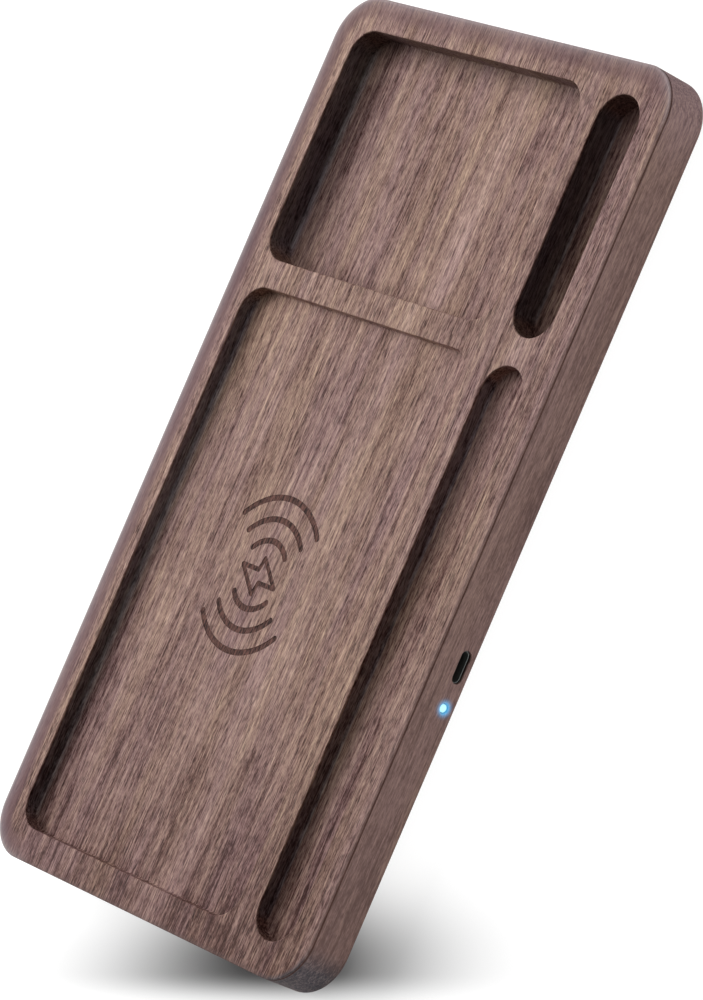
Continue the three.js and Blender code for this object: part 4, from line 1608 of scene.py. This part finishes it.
def smooth_route(knots: Array, steps: int) -> Array:
    """Smooth line through knots.

    Each span is the cubic that leaves its first knot and meets its second at the slopes that
    the knots on both sides give, with spans timed by the square root of their lengths.

    Args:
        knots: Places to pass.
        steps: Points in each span.

    Returns:
        The line's points.
    """
    full = np.vstack([2 * knots[0] - knots[1], knots, 2 * knots[-1] - knots[-2]])
    time = np.sqrt(np.linalg.norm(np.diff(full, axis=0), axis=1))[:, None]
    step = np.diff(full, axis=0) / time
    joint = (full[2:] - full[:-2]) / (time[:-1] + time[1:])
    slope = step[:-1] - joint + step[1:]
    share = np.linspace(0, 1, steps, endpoint=False)[None, :, None]
    first, last = full[1:-2, None], full[2:-1, None]
    leave, meet = (slope[:-1] * time[1:-1])[:, None], (slope[1:] * time[1:-1])[:, None]
    cubic = (
        (2 * share**3 - 3 * share**2 + 1) * first
        + (share**3 - 2 * share**2 + share) * leave
        + (3 * share**2 - 2 * share**3) * last
        + (share**3 - share**2) * meet
    )
    return np.vstack([cubic.reshape(-1, 3), knots[-1]])


def tube_along(route: Array, radius: float, sides: int) -> Shell:
    """Round tube along a line.

    Its rings stand square to the line, on axes that are the cross products of the line's
    direction with straight up.

    Args:
        route: The line's points.
        radius: Radius of the tube.
        sides: Flat sides of a ring.

    Returns:
        The tube's shell, closed at both ends.
    """
    way = np.gradient(route, axis=0)
    way /= np.linalg.norm(way, axis=1, keepdims=True)
    across = np.cross(way, (0.0, 0.0, 1.0))
    across /= np.linalg.norm(across, axis=1, keepdims=True)
    up = np.cross(across, way)
    angle = np.arange(sides)[None, :, None] * TURN / sides
    facing = across[:, None] * np.cos(angle) + up[:, None] * np.sin(angle)
    shell = Shell()
    shell.grid(route[:, None] + radius * facing, facing, closed=True)
    for end, sign in ((0, -1), (-1, 1)):
        rim = route[end] + radius * facing[end]
        cap = np.stack([rim, np.tile(route[end], (sides, 1))])
        shell.grid(cap, np.broadcast_to(sign * way[end], cap.shape), closed=True)
    return shell


@dataclass(frozen=True)
class Block:
    """A soldered component with a tinned cap at both ends of its longer side."""

    node: str
    place: Pair
    size: Pair
    height: float = 2.2
    corner: float = 0.12
    slot: str = "tan_ceramic"


@dataclass(frozen=True)
class Board:
    """The circuit board and what is soldered under it."""

    at: Layout
    width: float = 28.0
    length: float = 40.0
    edge: float = 0.05
    hole: float = 1.3
    pad: float = 2.3
    pad_rise: float = 0.04
    screw_head: float = 1.1
    screw_length: float = 6.1
    chips: tuple[tuple[str, Pair, float], ...] = (
        ("controller_chip", (50.3, -39.6), 6.0),
        ("bridge_chip", (46.8, -32.0), 4.0),
    )
    chip_height: float = 0.9
    land_pitch: float = 0.65
    land_size: Pair = (0.3, 0.7)
    land_height: float = 0.038
    blocks: tuple[Block, ...] = (
        Block("power_inductor", (51.0, -24.0), (7.0, 7.0), 2.8, 1.2, "ferrite"),
        Block("input_capacitor", (57.6, -35.0), (5.6, 2.5)),
        Block("resonant_capacitor_1", (47.28, -47.6), (2.5, 3.2)),
        Block("resonant_capacitor_2", (50.88, -47.6), (2.5, 3.2)),
        Block("resonant_capacitor_3", (54.48, -47.6), (2.5, 3.2)),
        Block("resonant_capacitor_4", (58.08, -47.6), (2.5, 3.2)),
    )
    cap_share: float = 0.16
    inset: float = 0.05

    def build(self, finishes: Finishes) -> None:
        """Builds the board, its screws and its components."""
        self._board(finishes.board)
        screw = Screw(self.at.board_bottom - self.screw_head, self.screw_length, False)
        for number, place in enumerate(self.at.board_screws, 1):
            node = f"board_screw_{number}"
            screw.draw(place).seat(f"{node}_driven", finishes.steel, "steel", node)
        for node, place, size in self.chips:
            self._chip(place, size).seat(f"{node}_moulded", finishes.chip, "black_plastic", node)
        bodies = {"ferrite": finishes.ferrite, "tan_ceramic": finishes.tan}
        for block in self.blocks:
            self._block(block).seat(f"{block.node}_body", bodies[block.slot], block.slot, block.node)

    def _board(self, finish: bpy.types.Material) -> None:
        """Builds the board: eased edge, bored and tinned screw holes."""
        at, shell, edge, low, high = self.at, Shell(), self.edge, self.at.board_bottom, self.at.board_top
        plan = Plan.about(at.board_x, at.port_along, self.width, self.length, 1.5, 6)
        shell.sweep(plan, Profile.side_of(low, high, edge, edge, 2))
        loops, ring, rise = [plan.outline(-edge)], self.pad - self.hole, self.pad_rise
        for place in at.board_screws:
            hole = Plan.disc(*place, self.hole, 6)
            loops.append(hole.outline(ring))
            land = Profile(ring, low, 1).straight(ring - rise, low - rise).straight(0, low - rise)
            land.straight(0, high + rise).straight(ring - rise, high + rise).straight(ring, high)
            shell.sweep(hole, land, mark=Mark.METAL)
        shell.level(loops, low, -1)
        shell.level(loops, high, 1)
        shell.seat("circuit_board_drilled", finish, "board_green", "circuit_board")

    def _chip(self, place: Pair, size: float) -> Shell:
        """Draws a flat chip: a moulded body on a row of tinned lands along each side."""
        high, shell, (narrow, long) = self.at.board_bottom, Shell(), self.land_size
        shell.slab(Plan.about(*place, size, size, 0.15, 3), high - self.chip_height, high - 0.04, 0.08, 0.02)
        lands = int(size / 0.8)
        for offset in (np.arange(lands) - (lands - 1) / 2) * self.land_pitch:
            for reach in (0.3 - size / 2, size / 2 - 0.3):
                for x, y, width, length in ((offset, reach, narrow, long), (reach, offset, long, narrow)):
                    land = Plan.about(place[0] + x, place[1] + y, width, length, 0.05, 1)
                    shell.slab(land, high - self.land_height, high, 0.005, 0.005, Mark.METAL)
        return shell

    def _block(self, block: Block) -> Shell:
        """Draws a component: a body that stands back a little, and a tinned cap at both ends."""
        high, shell, inset, size = self.at.board_bottom, Shell(), self.inset, block.size
        low, along = high - block.height, 0 if size[0] >= size[1] else 1
        cap = self.cap_share * size[along]
        body = [size[0] - 2 * inset, size[1] - 2 * inset]
        body[along] -= 2 * cap
        shell.slab(Plan.about(*block.place, *body, block.corner, 5), low + inset, high - inset, 0.1, 0.1)
        ends = list(size)
        ends[along] = cap
        for side in (-1, 1):
            middle = list(block.place)
            middle[along] += side * (size[along] - cap) / 2
            shell.slab(Plan.about(*middle, *ends, 0.15, 4), low, high, 0.12, 0.05, Mark.METAL)
        return shell


# Studio


@dataclass(frozen=True)
class Lamp:
    """A soft panel that shines at a spot on the tray."""

    name: str
    place: Place
    aim: Place
    size: Pair
    watts: float

    def hang(self) -> None:
        """Hangs the lamp, which the camera doesn't see."""
        data = bpy.data.lights.new(self.name, "AREA")
        data.shape, data.size, data.size_y = "RECTANGLE", *self.size
        data.energy = self.watts
        lamp = bpy.data.objects.new(self.name, data)
        lamp.location = self.place
        lamp.rotation_euler = (Vector(self.aim) - Vector(self.place)).to_track_quat("-Z", "Y").to_euler()
        lamp.visible_camera = False
        bpy.context.scene.collection.objects.link(lamp)


@dataclass(frozen=True)
class Studio:
    """Camera, lamps, pale floor and the white beyond it."""

    lens: float = 200.202
    clip: Pair = (0.05, 50.0)
    eye: Place = (1.12429162, -0.06915937, 0.91614878)
    right: Place = (0.59335249, 0.39364202, -0.70212448)
    up: Place = (-0.21628425, 0.91815568, 0.33198082)
    back: Place = (0.77534118, -0.04512318, 0.62992853)
    floor_size: float = 12.0
    floor_level: float = -0.0003
    floor_tone: float = 0.8
    floor_seen: float = 0.2
    floor_lift: float = 0.98
    fill: float = 0.015
    white: Colour = (1.0, 1.0, 1.0, 1.0)
    # Painted shadow pool on the floor at the tray's low corner.
    pool_middle: Place = (0.0398, -0.1238, 0.0)
    pool_turn: float = 0.2935
    pool_reach: Place = (0.0643, 0.0198, 1.0)
    pool_front: float = 2.76
    pool_power: float = 1.25
    lamps: tuple[Lamp, ...] = (
        Lamp("key", (-1.51, -0.01, 0.69), (0.0, 0.0, 0.0), (0.84, 1.37), 46.0),
        Lamp("overhead", (-0.22, 0.46, 1.4), (0.0, 0.0, 0.0), (1.53, 1.53), 8.2),
        Lamp("right_strip", (0.35, 0.0, 0.0075), (0.0, 0.0, 0.0075), (0.9, 0.012), 0.7),
        Lamp("near_strip", (0.0, -0.4, 0.0075), (0.0, 0.0, 0.0075), (0.6, 0.012), 0.1),
    )

    def camera(self) -> None:
        """Stands the camera at the photograph's place."""
        data = bpy.data.cameras.new("camera")
        data.lens, data.clip_start, data.clip_end = self.lens, *self.clip
        camera = bpy.data.objects.new("camera", data)
        turned = Matrix((self.right, self.up, self.back)).transposed().to_4x4()
        camera.matrix_world = Matrix.Translation(self.eye) @ turned
        bpy.context.scene.collection.objects.link(camera)
        bpy.context.scene.camera = camera

    def light(self) -> None:
        """Hangs the lamps and lays the floor and the world."""
        for lamp in self.lamps:
            lamp.hang()
        half = self.floor_size / 2
        corners = [(x * half, y * half, self.floor_level) for x, y in ((-1, -1), (1, -1), (1, 1), (-1, 1))]
        mesh = bpy.data.meshes.new("floor")
        mesh.from_pydata(corners, [], [(0, 1, 2, 3)])
        mesh.materials.append(self._floor_finish())
        floor = bpy.data.objects.new("floor", mesh)
        bpy.context.scene.collection.objects.link(floor)
        self._world()

    def _world(self) -> None:
        """Makes the world white for the camera, and a faint fill light for the rest."""
        world = bpy.data.worlds.new("white")
        bpy.context.scene.world = world
        world.use_nodes = True
        tree = world.node_tree
        strength = tree.nodes.new("ShaderNodeMapRange")
        strength.inputs[3].default_value, strength.inputs[4].default_value = self.fill, 1.0
        tree.links.new(self._seen(tree), strength.inputs[0])
        tree.nodes["Background"].inputs["Color"].default_value = self.white
        tree.links.new(strength.outputs[0], tree.nodes["Background"].inputs["Strength"])

    def _seen(self, tree: bpy.types.NodeTree) -> Output:
        """1 for what the camera sees, straight, mirrored or through glass, and otherwise 0."""
        path = tree.nodes.new("ShaderNodeLightPath").outputs
        seen = path["Is Camera Ray"]
        for other in ("Is Glossy Ray", "Is Transmission Ray"):
            either = tree.nodes.new("ShaderNodeMath")
            either.operation = "MAXIMUM"
            tree.links.new(seen, either.inputs[0])
            tree.links.new(path[other], either.inputs[1])
            seen = either.outputs[0]
        return seen

    def _floor_finish(self) -> bpy.types.Material:
        """Pale matt floor that the camera sees as white, but for a shadow painted at the tray's low corner.

        The painted shadow lies in a long low ellipse that is steeper in front; there the lift falls away
        and the camera sees the dimmed floor with its real shade. Its share is e to the power of minus
        the squared distance from the middle, counted in the ellipse's reach, to its own power.
        """
        mix = Recipe("floor")
        inputs = {
            "Vector": mix.place,
            "Location": self.pool_middle,
            "Rotation": (0.0, 0.0, self.pool_turn),
            "Scale": self.pool_reach,
        }
        along, across, _ = mix.axes(mix.node("ShaderNodeMapping", inputs, vector_type="TEXTURE").outputs[0])
        across = mix.sum("MAXIMUM", across, mix.sum("MULTIPLY", across, -self.pool_front))
        square = mix.sum("MULTIPLY_ADD", along, along, mix.sum("MULTIPLY", across, across))
        # Share of the painted shadow.
        painted_shadow = mix.sum("EXPONENT", mix.sum("MULTIPLY", mix.sum("POWER", square, self.pool_power), -1.0))
        seen = self._seen(mix.tree)
        tone = mix.fit(seen, 0.0, 1.0, self.floor_tone, self.floor_tone * self.floor_seen)
        return mix.done(
            Base_Color=mix.dim(mix.dim(self.white, tone), mix.fit(mix.cloud(2), 0.2, 0.8, 0.99, 1.01)),
            Roughness=0.9,
            Specular_IOR_Level=0.1,
            Emission_Color=self.white,
            Emission_Strength=mix.sum("MULTIPLY", seen, mix.fit(painted_shadow, 0.0, 1.0, self.floor_lift, 0.0)),
        )


def dress_shield(finish: bpy.types.Material) -> None:
    """Gives the ferrite sheet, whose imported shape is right, its finish."""
    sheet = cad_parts["ferrite_sheet"]
    sheet.data.materials.clear()
    sheet.data.materials.append(finish)
    log.info("ferrite_sheet: packed shape kept")


def main() -> None:
    """Builds the studio and every piece, in order."""
    bpy.context.scene.view_settings.view_transform = "Standard"
    studio = Studio()
    studio.camera()
    studio.light()
    finishes = Finishes()
    layout = Layout()
    TrayBody(layout, ChargingFigure()).build(finishes.walnut)
    Underside(layout).build(finishes)
    PowerSocket(layout).build(finishes)
    StatusLight(layout).build(finishes)
    CoilStack(layout).build(finishes)
    Board(layout).build(finishes)
    dress_shield(finishes.ferrite)


if __name__ == "__main__":
    main()
